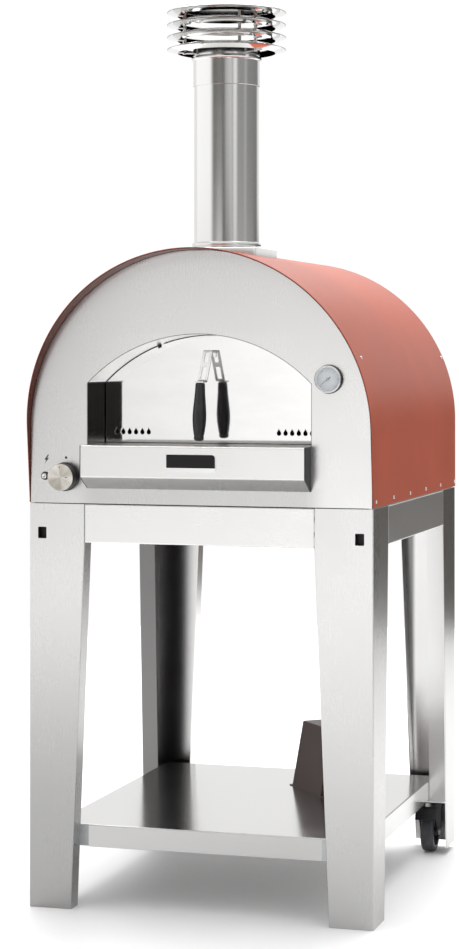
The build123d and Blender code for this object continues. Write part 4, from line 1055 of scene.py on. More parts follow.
class OVEN_OT_stop(bpy.types.Operator):
    """Fold the painted stop that keeps the gas bottle in place"""
    bl_idname = "oven.bottle_stop"
    bl_label = "Bottle stop"

    def execute(self, context):
        length, tall, foot, top = 160.0, 160.0, 130.0, 70.0
        turn = math.radians(-49.6)
        x = 98.0 - math.sin(turn) * foot / 2
        y = FRONT + 572.0 + math.cos(turn) * foot / 2
        place = Matrix.Translation((x * MM, y * MM, SHELF_TOP * MM)) @ Matrix.Rotation(turn, 4, "Z")

        def loop(inset, z):
            half = (foot + (top - foot) * z / tall) / 2 - inset
            return [(u, v, z) for u, v in oblong(-length / 2 + inset, length / 2 - inset, -half, half, 2.2)]
        steps = [(0, 0.0), (0, 2), (0, tall - 3), (0.5, tall - 1.3), (1.4, tall - 0.4), (3, tall)]
        hood = loft("bottle_stop_skin", [loop(inset, z) for inset, z in steps], closed=True, cap=True)
        tidy(hood)
        face_on(hood, (0, -1, 0.35))
        hood = eased(thicken(hood, 2.0), 0.3, 40)
        tabs = []
        for side in (-1, 1):
            low, high = sorted((side * (length / 2 - 1), side * (length / 2 + 16)))
            outline = oblong(low, high, -foot / 2, foot / 2, 3.0)
            hole = ring(side * (length / 2 + 8), -foot / 4, 3.2, 24)
            other = ring(side * (length / 2 + 8), foot / 4, 3.2, 24)
            tabs.append(plate("stop_tab", [outline, hole, other], 0, 2, TO_XY))
            for v in (-foot / 4, foot / 4):
                tabs.append(turned("stop_rivet",
                                   [(0, 3.6), (2.6, 3.2), (4.2, 2.0), (3.0, 2.0), (3.0, 0.2), (0, 0.2)],
                                   (side * (length / 2 + 8), v, 0), "Z", 20))
        whole = joined("bottle_stop_painted", [hood] + tabs)
        whole.data.transform(place)
        done(smooth(whole, 50), "stop paint", "brown_paint", "oven", "bottle_stop")
        return {"FINISHED"}


# ------------------------------------------------------------------ castors

class OVEN_OT_castors(bpy.types.Operator):
    """Make both rear castors: fork, wheel, tyre, axle ends and brake pedal"""
    bl_idname = "oven.castors"
    bl_label = "Castors"

    def execute(self, context):
        for name, side in (("left", -1), ("right", 1)):
            x = side * abs(WHEEL.x)
            y, z = WHEEL.y, WHEEL.z
            tread = softened([(41, -16), (50, -16), (50, 16), (41, 16)], [0, 7, 7, 0], 6)
            tyre = turned(f"tyre_{name}_tread", tread + [(41.0, -16)], (x, y, z), "X", 96)
            done(tyre, "tyre rubber", "grey_rubber", f"wheel_{name}", f"tyre_{name}")
            hub = [(5.05, -17), (9.5, -17), (10.5, -16), (11.5, -8), (14, -6), (30, -5.5), (33.5, -7),
                   (35, -15.2), (36, -16), (41, -16), (41, 16), (36, 16), (35, 15.2), (33.5, 7), (30, 5.5),
                   (14, 6), (11.5, 8), (10.5, 16), (9.5, 17), (5.05, 17), (5.05, -17)]
            core = turned(f"wheel_{name}_core", hub, (x, y, z), "X", 96)
            ribs = []
            for step in range(5):
                rib = plate("rib", [oblong(9.8, 35, -1.3, 1.3, 0.4)], -10, 10, TO_XY, 0.3)
                rib.data.transform(Matrix.Rotation(2 * math.pi * step / 5, 4, "Z"))
                rib.data.transform(Matrix.Translation((x * MM, y * MM, z * MM)) @ TO_YZ)
                ribs.append(rib)
            core = joined(f"wheel_{name}_core", [core] + ribs)
            done(smooth(core, 40), "black plastic", "black_plastic", f"wheel_{name}", f"wheel_{name}")
            self.fork(name, x, y, z)
            self.pedal(name, x, y)
        dress("castor_axles", "zinc screw")
        return {"FINISHED"}

    def fork(self, name, x, y, z):
        """Two cheeks under a plate, with a bridge over the wheel."""
        high = corner(f"castor_fork_{name}", True)
        top = high.z - 3
        cheek = softened([(y - 42, top), (y - 42, top - 30), (y - 11, z - 7.7), (y + 11, z - 7.7),
                          (y + 33.6, top - 22), (y + 33.6, top)], [0, 9, 7, 7, 9, 0], 5, closed=True)
        pieces = []
        for inner, outer in ((19, 22), (-22, -19)):
            pieces.append(plate("cheek", [cheek], x + inner, x + outer, TO_YZ, 0.5))
        pieces.append(plate("top", [oblong(x - 38, x + 38, y - 46, y + 46, 6)], top, high.z, TO_XY, 0.6))
        pieces.append(plate("bridge", [oblong(x - 20, x + 20, y - 20, y + 20, 2)], top - 3, top, TO_XY, 0.6))
        pin = [(0, -24), (2.6, -24), (3, -23.5), (3, 23.5), (2.6, 24), (0, 24)]
        pieces.append(turned("pin", pin, (x, y - 34, top - 14), "X", 24))
        whole = joined(f"castor_fork_{name}_black", pieces)
        done(smooth(whole, 50), "black paint", "galvanised_sheet", "oven", f"castor_fork_{name}")

    def pedal(self, name, x, y):
        """Curled foot plate with two ears on the pin."""
        pin_y = y - 34
        pin_z = corner(f"castor_fork_{name}", True).z - 17
        tread = softened([(pin_y - 32, pin_z - 26), (pin_y - 34.5, pin_z - 23), (pin_y - 14, pin_z + 3),
                          (pin_y - 11.5, pin_z)], [1.2, 1.2, 1.2, 1.2], 3, closed=True)
        pieces = [plate("tread", [tread], x - 25, x + 25, TO_YZ, 1.0)]
        for step in range(4):
            share = 0.2 + 0.2 * step
            u = pin_y - 34.5 + 20.5 * share
            v = pin_z - 23 + 26 * share
            grip = turned("grip", [(0, -21), (0.9, -20.6), (1.1, -20), (1.1, 20), (0.9, 20.6), (0, 21)],
                          (x, u + 0.3, v - 0.3), "X", 10)
            pieces.append(grip)
        ear = softened([(pin_y - 14, pin_z + 3), (pin_y + 5, pin_z + 5), (pin_y + 5, pin_z - 5),
                        (pin_y - 17, pin_z - 7)], [1, 4, 4, 1], 4, closed=True)
        hole = ring(pin_y, pin_z, 3.05, 24)
        for inner, outer in ((22.5, 24.5), (-24.5, -22.5)):
            pieces.append(plate("ear", [ear, hole], x + inner, x + outer, TO_YZ, 0.3))
        whole = joined(f"brake_pedal_{name}_black", pieces)
        done(smooth(whole, 50), "black paint", "black_paint", f"brake_pedal_{name}", f"brake_pedal_{name}")


# ------------------------------------------------------------------ oven body

def shell_front(z):
    """Front edge of the shell at one height."""
    start = STAND_TOP + 10
    return FRONT - sizes().lean * max(0.0, z - start) / (CROWN - start)


class OVEN_OT_shell(bpy.types.Operator):
    """Bend the painted roof shell and set the rear panel in it"""
    bl_idname = "oven.shell"
    bl_label = "Roof shell"

    def execute(self, context):
        path = [(-HALF, SHELL_FOOT), (-HALF, STAND_TOP + 10)] + roof_arch(HALF, STAND_TOP + 90, 120)
        path += [(HALF, STAND_TOP + 10), (HALF, SHELL_FOOT)]
        stations = (0.0, 0.5, 1.0)
        sections = []
        for share in stations:
            sections.append([(x, shell_front(z) + (SHELL_BACK - shell_front(z)) * share, z) for x, z in path])
        skin = loft("roof_shell_skin", sections)
        largest = max(skin.data.polygons, key=lambda face: face.center.z)
        if largest.normal.z < 0:
            skin.data.flip_normals()
        skin = eased(thicken(skin, sizes().shell), 0.7, 50)
        done(skin, "roof paint", "terracotta_paint", "oven", "roof_shell")
        radius = HALF - sizes().shell - 0.5
        holes = []
        for row in range(5):
            for column in (-1, 1):
                x, z = column * 70, STAND_TOP + 60 + row * 20
                holes.append(oblong(x - 45, x + 45, z - 4, z + 4, 3.95, 6))
        holes.append(ring(-350, STAND_TOP + 60, 8.0, 32))
        back = plate("rear_panel_sheet", [roof_arch(radius, SHELL_FOOT)] + holes, REAR_PANEL, REAR_PANEL + 2)
        done(back, "zinc sheet", "galvanised_sheet", "oven", "rear_panel")
        return {"FINISHED"}


class OVEN_OT_front(bpy.types.Operator):
    """Cut the front panel and bend the reveal round the mouth"""
    bl_idname = "oven.front"
    bl_label = "Front panel"

    def execute(self, context):
        radius = HALF - sizes().shell - 0.5
        holes = [mouth_path(0, HEARTH - 2), ring(KNOB.x, KNOB.z, 6), ring(IGNITER.x, IGNITER.z, 7.4),
                 ring(GAUGE.x, GAUGE.z, 4)]
        panel = plate("front_panel_sheet", [roof_arch(radius, SHELL_FOOT, 120)] + holes, FRONT, FRONT + 2)
        done(panel, "steel panel", "brushed_steel", "oven", "front_panel")
        path = mouth_path(0, HEARTH - 2)
        liner = loft("mouth_liner_skin", [[(x, y, z) for x, z in path] for y in (FRONT + 0.8, THROAT)])
        upper = max(liner.data.polygons, key=lambda face: face.center.z)
        if upper.normal.z > 0:
            liner.data.flip_normals()
        liner = eased(thicken(liner, 2.0), 0.3, 50)
        done(liner, "steel liner", "brushed_steel", "oven", "mouth_liner")
        self.marks()
        return {"FINISHED"}

    def marks(self):
        """Printed dot over the knob and spark sign over the igniter."""
        dot = plate("gas_mark", [ring(-311.5, 1019.3, 3.0, 24)], FRONT - 0.25, FRONT + 0.05, edge=0.05)
        x, z = -358.5, 1015.6
        bolt = [(x + 3.0, z + 10), (x - 5.4, z - 1.8), (x - 0.9, z - 1.5), (x - 4.2, z - 10),
                (x + 5.6, z + 2.4), (x + 1.3, z + 2.1), (x + 6.0, z + 10)]
        spark = plate("spark_mark", [bolt], FRONT - 0.25, FRONT + 0.05, edge=0.05)
        done(joined("panel_marks", [dot, spark]), "mark ink", "plate_black", "oven")


class OVEN_OT_ledge(bpy.types.Operator):
    """Fold the ledge, close its ends and set the blank plate on it"""
    bl_idname = "oven.ledge"
    bl_label = "Ledge"

    def execute(self, context):
        out = LEDGE_FACE
        low = HEARTH - 71
        foot = low - 28
        half = MOUTH_HALF - 2
        section = softened([(THROAT, HEARTH), (out, HEARTH), (out, low), (FRONT - 4, foot), (FRONT, foot)],
                           [0, 4.0, 3.0, 2.5, 0], 6)
        skin = loft("ledge_skin", [[(x, y, z) for y, z in section] for x in (-half, half)])
        face_on(skin, (0, 0, 1))
        skin = eased(thicken(skin, 2.0), 0.35, 50)
        done(skin, "steel ledge", "brushed_steel", "oven", "ledge")
        outline = softened([(FRONT, HEARTH), (out, HEARTH), (out, low), (FRONT - 4, foot), (FRONT, foot)],
                           [0, 4.0, 3.0, 2.5, 0], 6, closed=True)
        ends = [plate("end", [outline], *sorted((side * half, side * (half + 2))), TO_YZ, 0.4)
                for side in (-1, 1)]
        done(smooth(joined("ledge_end_caps", ends), 50), "black paint", "black_paint", "oven", "ledge_ends")
        self.nameplate(out)
        return {"FINISHED"}

    def nameplate(self, out):
        """Dark plate with a bright border and a bright lower strip, blank."""
        z = HEARTH - 37.5
        corners = [3.0, 3.0, 9.0, 3.0]
        edge = softened([(-58, z - 20.75), (58, z - 20.75), (58, z + 20.75), (-58, z + 20.75)], corners, 6,
                        True)
        inner = softened([(-56.2, z - 10.5), (56.2, z - 10.5), (56.2, z + 18.95), (-56.2, z + 18.95)],
                         [1.5, 1.5, 7.4, 1.5], 6, True)
        border = plate("nameplate_border", [edge, inner], out - 1.2, out, edge=0.25)
        ground = plate("nameplate_ground", [inner], out - 0.8, out, edge=0.05)
        done(border, "polished trim", "plate_black", "oven", "nameplate")
        done(ground, "plate ground", "plate_black", "oven")


class OVEN_OT_screws(bpy.types.Operator):
    """Set the pan-head screws along both feet and sides of the shell"""
    bl_idname = "oven.screws"
    bl_label = "Shell screws"

    def execute(self, context):
        head = [(0, 2.0), (2.6, 1.9), (3.5, 1.2), (4.0, 0.2), (4.0, 0.0), (0, 0.0)]
        rows = []
        foot = turned("shell_screw_row", head, (HALF, FRONT + 26, STAND_TOP + 15), "X", 20)
        rows.append(repeated(foot, "zinc screw", sizes().screws, (0, 176, 0)))
        rise = STAND_TOP + 330 - SPRING
        lean = math.asin(rise / HALF)
        span = SHELL_BACK - FRONT - 40
        dot = turned("shell_screw_dot", head, (0, 0, 0), "X", 20)
        place = Vector((HALF * math.cos(lean), FRONT + 20, STAND_TOP + 330)) * MM
        dot.data.transform(Matrix.Translation(place) @ Matrix.Rotation(-lean, 4, "Y"))
        rows.append(repeated(dot, "zinc screw", 2, (0, span, 0)))
        right = smooth(joined("shell_screws_right", rows), 32)
        left = flipped(right, "shell_screws_left")
        done(right, "zinc screw", "zinc_fasteners", "oven", "shell_screws")
        done(left, "zinc screw", "zinc_fasteners", "oven", "shell_screws")
        return {"FINISHED"}


# ------------------------------------------------------------------ door

def flame(x, z):
    """Flame-shaped vent outline."""
    r = 4.8
    low = z - 7.7 + r
    tip = z + 7.7
    path = arc(x, low, r, 180, 360, 10)
    path += [(x + r * 0.93, low + 2.6), (x + r * 0.62, low + 5.2), (x + r * 0.22, low + 7.8),
             (x - r * 0.12, tip)]
    path += [(x - r * 0.30, low + 7.6), (x - r * 0.68, low + 5.0), (x - r * 0.95, low + 2.4)]
    return path


def door_edge():
    """Door outline with a finger notch at each side of its top edge."""
    path = mouth_path(2.0, DOOR_FOOT)
    notched = []
    deep = 5.0
    inside = False
    for x, z in path:
        within = 115 <= abs(x) <= 132 and z > JAMB_TOP
        if within and not inside:
            notched.append((x, z))
        notched.append((x, z - deep) if within else (x, z))
        if inside and not within:
            notched.insert(-1, (notched[-2][0], z))
        inside = within
    return notched


class OVEN_OT_door(bpy.types.Operator):
    """Cut the mirror-polished door skin with its flame vents"""
    bl_idname = "oven.door"
    bl_label = "Door"

    def execute(self, context):
        holes = []
        for side in (-1, 1):
            for step in range(sizes().vents):
                holes.append(flame(side * (154.5 + 15.4 * step), HEARTH + 27))
        skin = plate("door_skin", [door_edge()] + holes, DOOR_FACE, DOOR_FACE + 2, edge=0.4)
        done(skin, "polished door", "polished_steel", "door", "door_panel")
        dress("door_back", "zinc sheet")
        return {"FINISHED"}


class OVEN_OT_handle(bpy.types.Operator):
    """Fold the slotted strap and turn the black grip and its screw"""
    bl_idname = "oven.handle"
    bl_label = "Door handle"

    def execute(self, context):
        low, high = STRAP
        y_top = DOOR_FACE - 26
        y_foot = DOOR_FACE - 70
        z_foot = high.z - 70
        tip = low.y
        path = softened([(DOOR_FACE - 0.1, high.z - 16), (DOOR_FACE - 0.1, high.z), (y_top, high.z),
                         (y_foot, z_foot), (tip, z_foot)], [0, 3.0, 7.0, 7.0, 0], 6)
        skin = loft("door_bracket_skin", [[(x, y, z) for y, z in path]
                                          for x in (HANDLE_X - 11, HANDLE_X + 11)])
        top_face = max(skin.data.polygons, key=lambda face: face.center.z)
        if top_face.normal.z < 0:
            skin.data.flip_normals()
        skin = thicken(skin, 2.5)
        slope = math.hypot(y_top - y_foot, 70)
        lean = math.atan2(y_top - y_foot, 70)
        tools = []
        for start, end, wide in ((0.07, 0.39, 10), (0.53, 0.93, 11)):
            middle = (start + end) / 2
            half = (end - start) * slope / 2
            tool = plate("slot tool", [oblong(-wide / 2, wide / 2, -half, half, 3.0)], -7, 7, TO_XY, 0.01)
            place = Vector((HANDLE_X, y_top + (y_foot - y_top) * middle, high.z - 70 * middle)) * MM
            tool.data.transform(Matrix.Translation(place) @ Matrix.Rotation(math.pi / 2 - lean, 4, "X"))
            tools.append(tool)
        skin = eased(cut(skin, *tools), 0.4, 50)
        done(skin, "polished trim", "polished_steel", "door", "door_bracket")
        self.grip(tip + 14, z_foot)
        return {"FINISHED"}

    def grip(self, y, z_foot):
        """Turned grip hanging from the strap's tab, with a pan head screw through the tab."""
        under = z_foot - 2.5
        profile = [(0, 0.0), (8.5, -0.05), (9.9, -0.6), (10.5, -2.0), (11.0, -10), (11.8, -25), (13.2, -42),
                   (14.6, -58), (15.4, -72), (15.3, -84), (14.4, -96), (13.0, -107), (11.9, -114),
                   (11.3, -117.5), (10.6, -118.6), (10.6, -119.6), (11.2, -120.6), (11.2, -124),
                   (10.4, -127), (8.2, -129.2), (5.0, -130.0), (0, -130.2)]
        grip = turned("door_grip_turned", profile, (0, 0, 0), "Z", 64)
        lean = Matrix.Rotation(math.radians(-5), 4, "X")
        grip.data.transform(shift(HANDLE_X, y, under - 1.0) @ lean)
        done(grip, "black grip", "black_plastic", "door", "door_grip")
        head = [(0, 3.2), (2.6, 3.0), (3.9, 2.0), (4.5, 0.6), (4.5, 0.05), (2.3, 0.05), (2.3, -1.0),
                (0, -1.0)]
        screw = turned("grip_screw_head", head, (HANDLE_X, y, z_foot), "Z", 32)
        done(screw, "zinc screw", "polished_steel", "door", "grip_screw")


# ------------------------------------------------------------------ thermometer

class OVEN_OT_thermometer(bpy.types.Operator):
    """Turn the thermometer case and make its dial, ticks, pointer and glass"""
    bl_idname = "oven.thermometer"
    bl_label = "Thermometer"

    def execute(self, context):
        x, z = GAUGE.x, GAUGE.z
        face = GAUGE_FACE
        floor = face + 9
        at = (x, 0, z)
        case = [(0, -(FRONT + 30)), (4, -(FRONT + 30)), (4, -(FRONT - 0.1)), (31, -FRONT),
                (32, -(FRONT - 0.8)), (31.8, -(FRONT - 2.6)), (31.0, -(FRONT - 3.0)), (30.0, -(FRONT - 3.4)),
                (30, -(face + 1.6)), (29.6, -(face + 0.5)), (28.8, -face), (28.3, -(face + 0.1)),
                (27.8, -(face + 0.8)), (27.8, -floor), (0, -floor)]
        ring_case = turned("thermometer_ring", case, at, "Y", 96)
        done(ring_case, "gauge case", "polished_steel", "oven", "thermometer_case")
        lining = [(27.75, -(floor + 0.2)), (27.75, -(face + 1.4)), (26.4, -(face + 4.2)),
                  (25.6, -(floor - 0.1)), (25.6, -(floor + 0.2)), (27.75, -(floor + 0.2))]
        inner = turned("thermometer_inner_ring", lining, at, "Y", 96)
        done(inner, "white ink", "dial_face", "oven")
        disc = [(0, -(floor - 4.5)), (1.3, -(floor - 4.4)), (1.5, -(floor - 4.1)), (1.5, -floor + 0.3),
                (27.6, -floor + 0.3), (27.6, -(floor + 0.8)), (0, -(floor + 0.8))]
        dial = turned("thermometer_dial_face", disc, at, "Y", 96)
        done(dial, "dial print", "dial_face", "oven", "thermometer_dial")
        self.ticks(x, floor - 0.3, z)
        self.pointer(x, floor - 3.2, z)
        glass = [(0, -(face + 0.9)), (14, -(face + 1.15)), (27.0, -(face + 1.7)), (27.6, -(face + 2.0)),
                 (27.6, -(face + 2.9)), (0, -(face + 2.9))]
        pane = turned("thermometer_pane", glass, at, "Y", 64)
        done(pane, "clear glass", "clear_glass", "oven", "thermometer_glass")
        return {"FINISHED"}

    def ticks(self, x, y, z):
        """Printed marks over three quarters of the dial, long at every fifth."""
        count = sizes().ticks
        turn = math.radians(270 / (count - 1))
        start = math.radians(-135)
        marks = []
        for long, wide, number, step in ((3.0, 0.5, count, turn), (5.0, 0.9, (count - 1) // 5 + 1, turn * 5)):
            mark = plate("tick", [oblong(-wide / 2, wide / 2, 24.4 - long, 24.4, 0.1, 2)], -0.08, 0.02,
                         edge=0.01)
            mark.data.transform(Matrix.Rotation(start, 4, "Y"))
            mark.data.transform(shift(x, y, z))
            marks.append(repeated(mark, "mark ink", number, (0, step, 0), (x, y, z)))
        done(joined("thermometer_ticks", marks), "mark ink", "dial_face", "oven")

    def pointer(self, x, y, z):
        """Thin dark pointer with a short tail and a hub cap."""
        outline = [(-7.4, -1.3), (-7.4, 1.3), (-2, 0.9), (21, 0.35), (21, -0.35), (-2, -0.9)]
        hub = turned("hub", [(1.55, 0.6), (2.7, 0.6), (3.0, 0.3), (3.0, -0.4), (2.7, -0.6), (1.55, -0.6),
                             (1.55, 0.6)], (0, 0, 0), "Y", 32)
        blade = plate("blade", [outline, ring(0, 0, 1.6, 20)], -0.3, 0.3, edge=0.1)
        whole = joined("thermometer_pointer_blade", [blade, hub])
        whole.data.transform(shift(x, y, z) @ Matrix.Rotation(math.radians(-218), 4, "Y"))
        done(whole, "mark ink", "polished_steel", "thermometer_pointer", "thermometer_pointer")


# ------------------------------------------------------------------ controls

class OVEN_OT_controls(bpy.types.Operator):
    """Turn the gas knob and the igniter with its button"""
    bl_idname = "oven.controls"
    bl_label = "Gas controls"

    def execute(self, context):
        self.knob()
        self.igniter()
        dress("gas_valve", "brass")
        dress("valve_spindle", "zinc screw")
        return {"FINISHED"}

    def knob(self):
        back, face = KNOB_BACK, KNOB_FACE
        at = (KNOB.x, 0, KNOB.z)
        side = [(4.05, -(back - 17)), (4.05, -back), (31.6, -back), (32.5, -(back - 0.8)),
                (32.5, -(back - 4.2)), (31.8, -(back - 5.0)), (30.5, -(back - 5.4))]
        for start in (face + 15.6, face + 9.6):
            side += [(30.5, -(start + 0.35)), (29.7, -start), (29.5, -(start - 0.4)), (29.5, -(start - 1.2)),
                     (29.7, -(start - 1.6)), (30.5, -(start - 1.95))]
        side += [(30.5, -(face + 1.6)), (30.2, -(face + 0.7))]
        top = [(30.2, -(face + 0.7)), (29.6, -(face + 0.1)), (28.9, -face), (27.5, -(face + 0.25)),
               (15, -(face + 0.75)), (0, -(face + 0.9))]
        body = turned("control_knob_side", side +
                      [(0, -(face + 1.4)), (0, -(back - 17)), (4.05, -(back - 17))], at, "Y", 96)
        cap = turned("control_knob_face", top +
                     [(0, -(face + 1.3)), (30.1, -(face + 1.2)), (30.2, -(face + 0.7))], at, "Y", 96)
        done(body, "knob side", "knob_metal", "control_knob", "control_knob")
        done(cap, "turned face", "knob_metal", "control_knob")
        x, z = KNOB.x, KNOB.z
        dot = plate("dot", [ring(x - 2, z + 22.5, 1.5, 20)], face, face + 0.9, edge=0.05)
        dash = plate("dash", [oblong(x + 11, x + 17, z - 0.8, z + 0.8, 0.7)], face + 0.1, face + 1.1,
                     edge=0.05)
        done(joined("control_knob_marks", [dot, dash]), "mark ink", "knob_metal", "control_knob")

    def igniter(self):
        at = (IGNITER.x, 0, IGNITER.z)
        bezel = [(6.2, -(FRONT + 20)), (7.4, -(FRONT + 20)), (7.4, -(FRONT + 0.1)), (9.2, -FRONT),
                 (9.5, -(FRONT - 0.5)), (9.4, -(FRONT - 2.6)), (8.6, -(FRONT - 3.7)), (7.4, -(FRONT - 4.0)),
                 (6.5, -(FRONT - 3.7)), (6.2, -(FRONT - 3.0)), (6.2, -(FRONT + 20))]
        done(turned("igniter_bezel", bezel, at, "Y", 64), "black plastic", "black_plastic", "oven",
             "igniter_body")
        tip = FRONT - 9
        push = [(0, -(tip + 0.5)), (3.0, -(tip + 0.3)), (4.6, -tip), (5.4, -(tip + 0.3)), (5.9, -(tip + 1.1)),
                (6.0, -(tip + 2.2)), (6.0, -(FRONT + 18)), (0, -(FRONT + 18))]
        done(turned("igniter_push", push, at, "Y", 48), "polished trim", "black_plastic", "igniter_button",
             "igniter_button")


# ------------------------------------------------------------------ flue

class OVEN_OT_flue(bpy.types.Operator):
    """Saddle the flue box on the roof and stand the pipe and collar on it"""
    bl_idname = "oven.flue"
    bl_label = "Flue"

    def execute(self, context):
        half = 95.0
        y = FLUE_Y

        def saddle(inset, z):
            loop = softened([(-half + inset, y - half + inset), (half - inset, y - half + inset),
                             (half - inset, y + half - inset), (-half + inset, y + half - inset)], 3.0, 4,
                            True)
            dense = []
            for k, (u, v) in enumerate(loop):
                nu, nv = loop[(k + 1) % len(loop)]
                count = 10 if math.hypot(nu - u, nv - v) > 50 else 1
                dense += [(u + (nu - u) * s / count, v + (nv - v) * s / count) for s in range(count)]
            return [(u, v, SPRING + math.sqrt(HALF ** 2 - u * u) - 0.5 if z is None else z) for u, v in dense]
        steps = [(0, None), (0, BOX_TOP - 2.2), (0.4, BOX_TOP - 1.0), (1.2, BOX_TOP - 0.2), (2.4, BOX_TOP),
                 (30, BOX_TOP)]
        walls = loft("flue_box_skin", [saddle(inset, z) for inset, z in steps], closed=True, cap=True)
        tidy(walls)
        face_on(walls, (0, 0, 1))
        done(smooth(walls, 50), "steel panel", "brushed_steel", "oven", "flue_box")
        at = (0, y, 0)
        foot = PIPE_FOOT
        pipe = [(74, COLLAR_FOOT + 30), (74, BOX_TOP), (76.5, BOX_TOP), (76.5, foot - 0.4),
                (79.2, foot + 0.6), (80, foot + 3), (80, foot + 6), (79, foot + 8.6), (76.6, foot + 9.4),
                (75.5, foot + 10.4)]
        pipe += [(75.5, foot + 10.4 + (COLLAR_FOOT - foot - 10.4) * k / 6) for k in range(1, 7)]
        pipe += [(75.5, COLLAR_FOOT + 30), (74, COLLAR_FOOT + 30)]
        done(turned("flue_pipe_tube", pipe, at, "Z", 128), "steel flue", "brushed_steel", "oven", "flue_pipe")
        z0, z1 = COLLAR_FOOT, COLLAR_TOP
        bead = z1 - 28
        collar = [(75.6, z0), (77.0, z0), (77.5, z0 + 0.6), (77.5, bead - 5.2), (78.6, bead - 4.2),
                  (80.6, bead - 2.8), (81.5, bead), (80.6, bead + 2.8), (78.6, bead + 4.2),
                  (77.5, bead + 5.2), (77.5, z1 - 0.5), (77.0, z1), (75.6, z1), (75.6, z0)]
        done(turned("flue_collar_tube", collar, at, "Z", 128), "steel flue", "brushed_steel", "oven",
             "flue_collar")
        return {"FINISHED"}


class OVEN_OT_cap(bpy.types.Operator):
    """Stack the hoops of the chimney cap on their rods, under the lid"""
    bl_idname = "oven.cap"
    bl_label = "Chimney cap"

    def execute(self, context):
        at = (0, FLUE_Y, CAP_FIRST)
        hoop = [(113.0, 8.0), (113.4, 8.1), (137.2, 0.75), (137.9, 0.4), (138.0, 0), (137.9, -0.4),
                (137.2, -0.75), (113.4, -8.1), (113.0, -8.0), (112.9, -6.6), (133.4, 0), (112.9, 6.6),
                (113.0, 8.0)]
        one = turned("cap_hoop", hoop, at, "Z", 128)
        stack = repeated(one, "polished hoop", sizes().hoops, (0, 0, CAP_PITCH))
        done(smooth(stack, 30), "polished hoop", "polished_steel", "oven", "cap_rings")
        top = LID_TOP
        lid = [(0, top), (90, top), (112, top - 0.1), (114.6, top - 0.5), (115, top - 0.9),
               (114.6, top - 1.5), (0, top - 1.5)]
        done(turned("cap_lid_disc", lid, (0, FLUE_Y, 0), "Z", 128), "polished cap", "polished_steel", "oven",
             "cap_lid")
        pieces = []
        low = CAP_FIRST - 13
        for step in range(3):
            angle = math.radians(CAP_ROD_TURN + 120 * step)
            x = CAP_ROD_CIRCLE * math.cos(angle)
            y = FLUE_Y + CAP_ROD_CIRCLE * math.sin(angle)
            rod = [(0, low), (3.0, low), (4.0, low + 0.8), (4.0, top - 2), (0, top - 2)]
            pieces.append(turned("rod", rod, (x, y, 0), "Z", 24))
            for tier in range(sizes().hoops):
                z = CAP_FIRST + CAP_PITCH * tier
                arm = plate("arm", [oblong(-2, 15.6, -7, 7, 1.5)], -10.0, -8.0, TO_XY, 0.3)
                arm.data.transform(shift(x, y, z) @ Matrix.Rotation(angle, 4, "Z"))
                pieces.append(arm)
            hook = plate("hook", [oblong(-21.3, 4, -7, 7, 1.5)], -11, -8, TO_XY, 0.3)
            hook.data.transform(shift(x, y, CAP_FIRST) @ Matrix.Rotation(angle, 4, "Z"))
            pieces.append(hook)
        done(smooth(joined("cap_rods_and_arms", pieces), 50), "polished trim", "polished_steel", "oven",
             "cap_rods")
        return {"FINISHED"}


# ------------------------------------------------------------------ chamber and stage

class OVEN_OT_chamber(bpy.types.Operator):
    """Give the chamber, hearth, burner, pipes and base their finishes"""
    bl_idname = "oven.chamber"
    bl_label = "Chamber"

    def execute(self, context):
        coats = {
            "steel sooted": ("chamber_vault", "chamber_rear_wall", "chamber_floor", "throat_plate", "burner"),
            "fireclay": ("hearth_tiles",),
            "ceramic fibre": ("insulation_blanket", "hearth_board"),
            "zinc sheet": ("base_tray",),
            "copper": ("gas_supply_pipe", "burner_pipe"),
        }
        for material, nodes in coats.items():
            for node in nodes:
                dress(node, material)
        return {"FINISHED"}


def lamp(name, place, aim, width, height, power, shade=(1, 1, 1)):
    """Soft rectangular light aimed at a point, in metres."""
    light = bpy.data.lights.new(name, "AREA")
    light.shape = "RECTANGLE"
    light.size = width
    light.size_y = height
    light.energy = power
    light.color = shade
    thing = bpy.data.objects.new(name, light)
    thing.location = place
    thing.rotation_euler = (Vector(aim) - Vector(place)).to_track_quat("-Z", "Y").to_euler()
    bpy.context.scene.collection.objects.link(thing)


# Tones round the studio: degrees from straight ahead towards the right, then brightness.
CARDS = ((-180, 1.02), (-116, 1.02), (-108, 1.38), (-42, 1.38), (-30, 0.12), (-10, 0.13), (7, 0.15),
         (15, 0.62), (30, 0.80), (35, 0.70), (38.5, 0.36), (42, 1.1), (50, 1.1), (56, 0.34), (78, 0.33),
         (87, 0.56), (94, 0.30), (146, 0.26), (160, 1.02), (180, 1.02))
# The same below the height of the oven's top, where the flags and the far wall stand.
FLAGS = ((-180, 1.02), (-160, 1.02), (-44, 1.02), (-30, 0.62), (-22, 0.86), (-13, 1.40), (-2, 1.40),
         (5, 0.20), (10, 0.02), (25, 0.02), (34, 0.50), (70, 0.60), (120, 0.45), (140, 0.13), (177, 0.11),
         (183, 1.02))


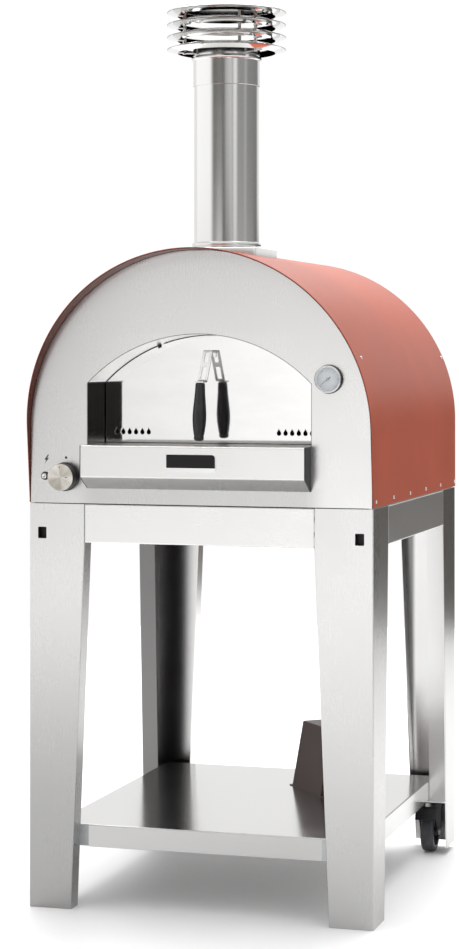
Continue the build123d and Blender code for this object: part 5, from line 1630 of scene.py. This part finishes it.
def surroundings():
    """Soft boxes and grey walls round the studio, white overhead."""
    world = bpy.data.worlds.new("studio")
    bpy.context.scene.world = world
    world.use_nodes = True
    net = Net("studio", world, "Generated")
    across, ahead, up = (net.axis(k) for k in range(3))
    angle = net.add("ShaderNodeMath", {"operation": "ARCTAN2"}, across, ahead * -1.0)
    turn = angle / (2 * math.pi) + 0.5

    def band(tones):
        stops = []
        for degrees, tone in tones:
            warm = 0.82 if tone < 0.14 else 1.0
            stops.append(((degrees + 180) / 360, (tone / 1.4, tone * (1 + warm) / 2.8, tone * warm / 1.4)))
        return net.add("ShaderNodeValToRGB", {"stops": stops}, turn, out="Color")
    wall = up.step(0.030, 0.060).mix(band(FLAGS), band(CARDS))
    shade = up.step(0.19, 0.34).mix(wall, (0.72, 0.72, 0.72))
    light = net.add("ShaderNodeBackground", {}, Color=shade, Strength=1.4)
    net.add("ShaderNodeOutputWorld", {}, Surface=light)


class OVEN_OT_stage(bpy.types.Operator):
    """Lay the floor and set the studio lights and the camera"""
    bl_idname = "oven.stage"
    bl_label = "Stage"

    def execute(self, context):
        floor = plate("studio_floor", [ring(0, 0, 5200.0, 96)], -20, -0.2, TO_XY, 1.0)
        floor.data.materials.append(finish("studio floor"))
        surroundings()
        lamp("top", (0.0, 0.8, 4.2), (0, 0.8, 0.0), 3.6, 3.6, 150)
        lamp("behind", (-1.0, 4.6, 4.2), (-1.0, 4.4, 0.0), 5.0, 3.0, 120)
        view = bpy.context.scene.view_settings
        view.view_transform = "Standard"
        camera = bpy.data.cameras.new("camera")
        camera.lens = 88.2
        camera.sensor_width = 36.0
        camera.shift_y = -0.1244
        thing = bpy.data.objects.new("camera", camera)
        thing.location = (1.54566, -5.35451, 1.2477)
        thing.rotation_euler = (math.pi / 2, 0.0, 0.2904)
        bpy.context.scene.collection.objects.link(thing)
        bpy.context.scene.camera = thing
        return {"FINISHED"}


class OVEN_PT_panel(bpy.types.Panel):
    """Buttons for every group of pieces."""
    bl_idname = "OVEN_PT_panel"
    bl_label = "Pizza oven"
    bl_space_type = "VIEW_3D"
    bl_region_type = "UI"
    bl_category = "Oven"

    def draw(self, context):
        for step in STEPS:
            self.layout.operator(step.bl_idname)
        for group in (context.scene.oven_sizes, context.scene.oven_colours):
            for name in group.bl_rna.properties.keys():
                if name not in ("rna_type", "name"):
                    self.layout.prop(group, name)


STEPS = (OVEN_OT_legs, OVEN_OT_aprons, OVEN_OT_shelf, OVEN_OT_stop, OVEN_OT_castors, OVEN_OT_shell,
         OVEN_OT_front, OVEN_OT_ledge, OVEN_OT_screws, OVEN_OT_door, OVEN_OT_handle, OVEN_OT_thermometer,
         OVEN_OT_controls, OVEN_OT_flue, OVEN_OT_cap, OVEN_OT_chamber, OVEN_OT_stage)
CLASSES = (OvenSizes, OvenColours) + STEPS + (OVEN_PT_panel,)


def register():
    for kind in CLASSES:
        bpy.utils.register_class(kind)
    bpy.types.Scene.oven_sizes = PointerProperty(type=OvenSizes)
    bpy.types.Scene.oven_colours = PointerProperty(type=OvenColours)


def unregister():
    del bpy.types.Scene.oven_colours
    del bpy.types.Scene.oven_sizes
    for kind in reversed(CLASSES):
        bpy.utils.unregister_class(kind)


def main():
    register()
    for step in STEPS:
        group, name = step.bl_idname.split(".")
        getattr(getattr(bpy.ops, group), name)()


if __name__ == "__main__":
    main()
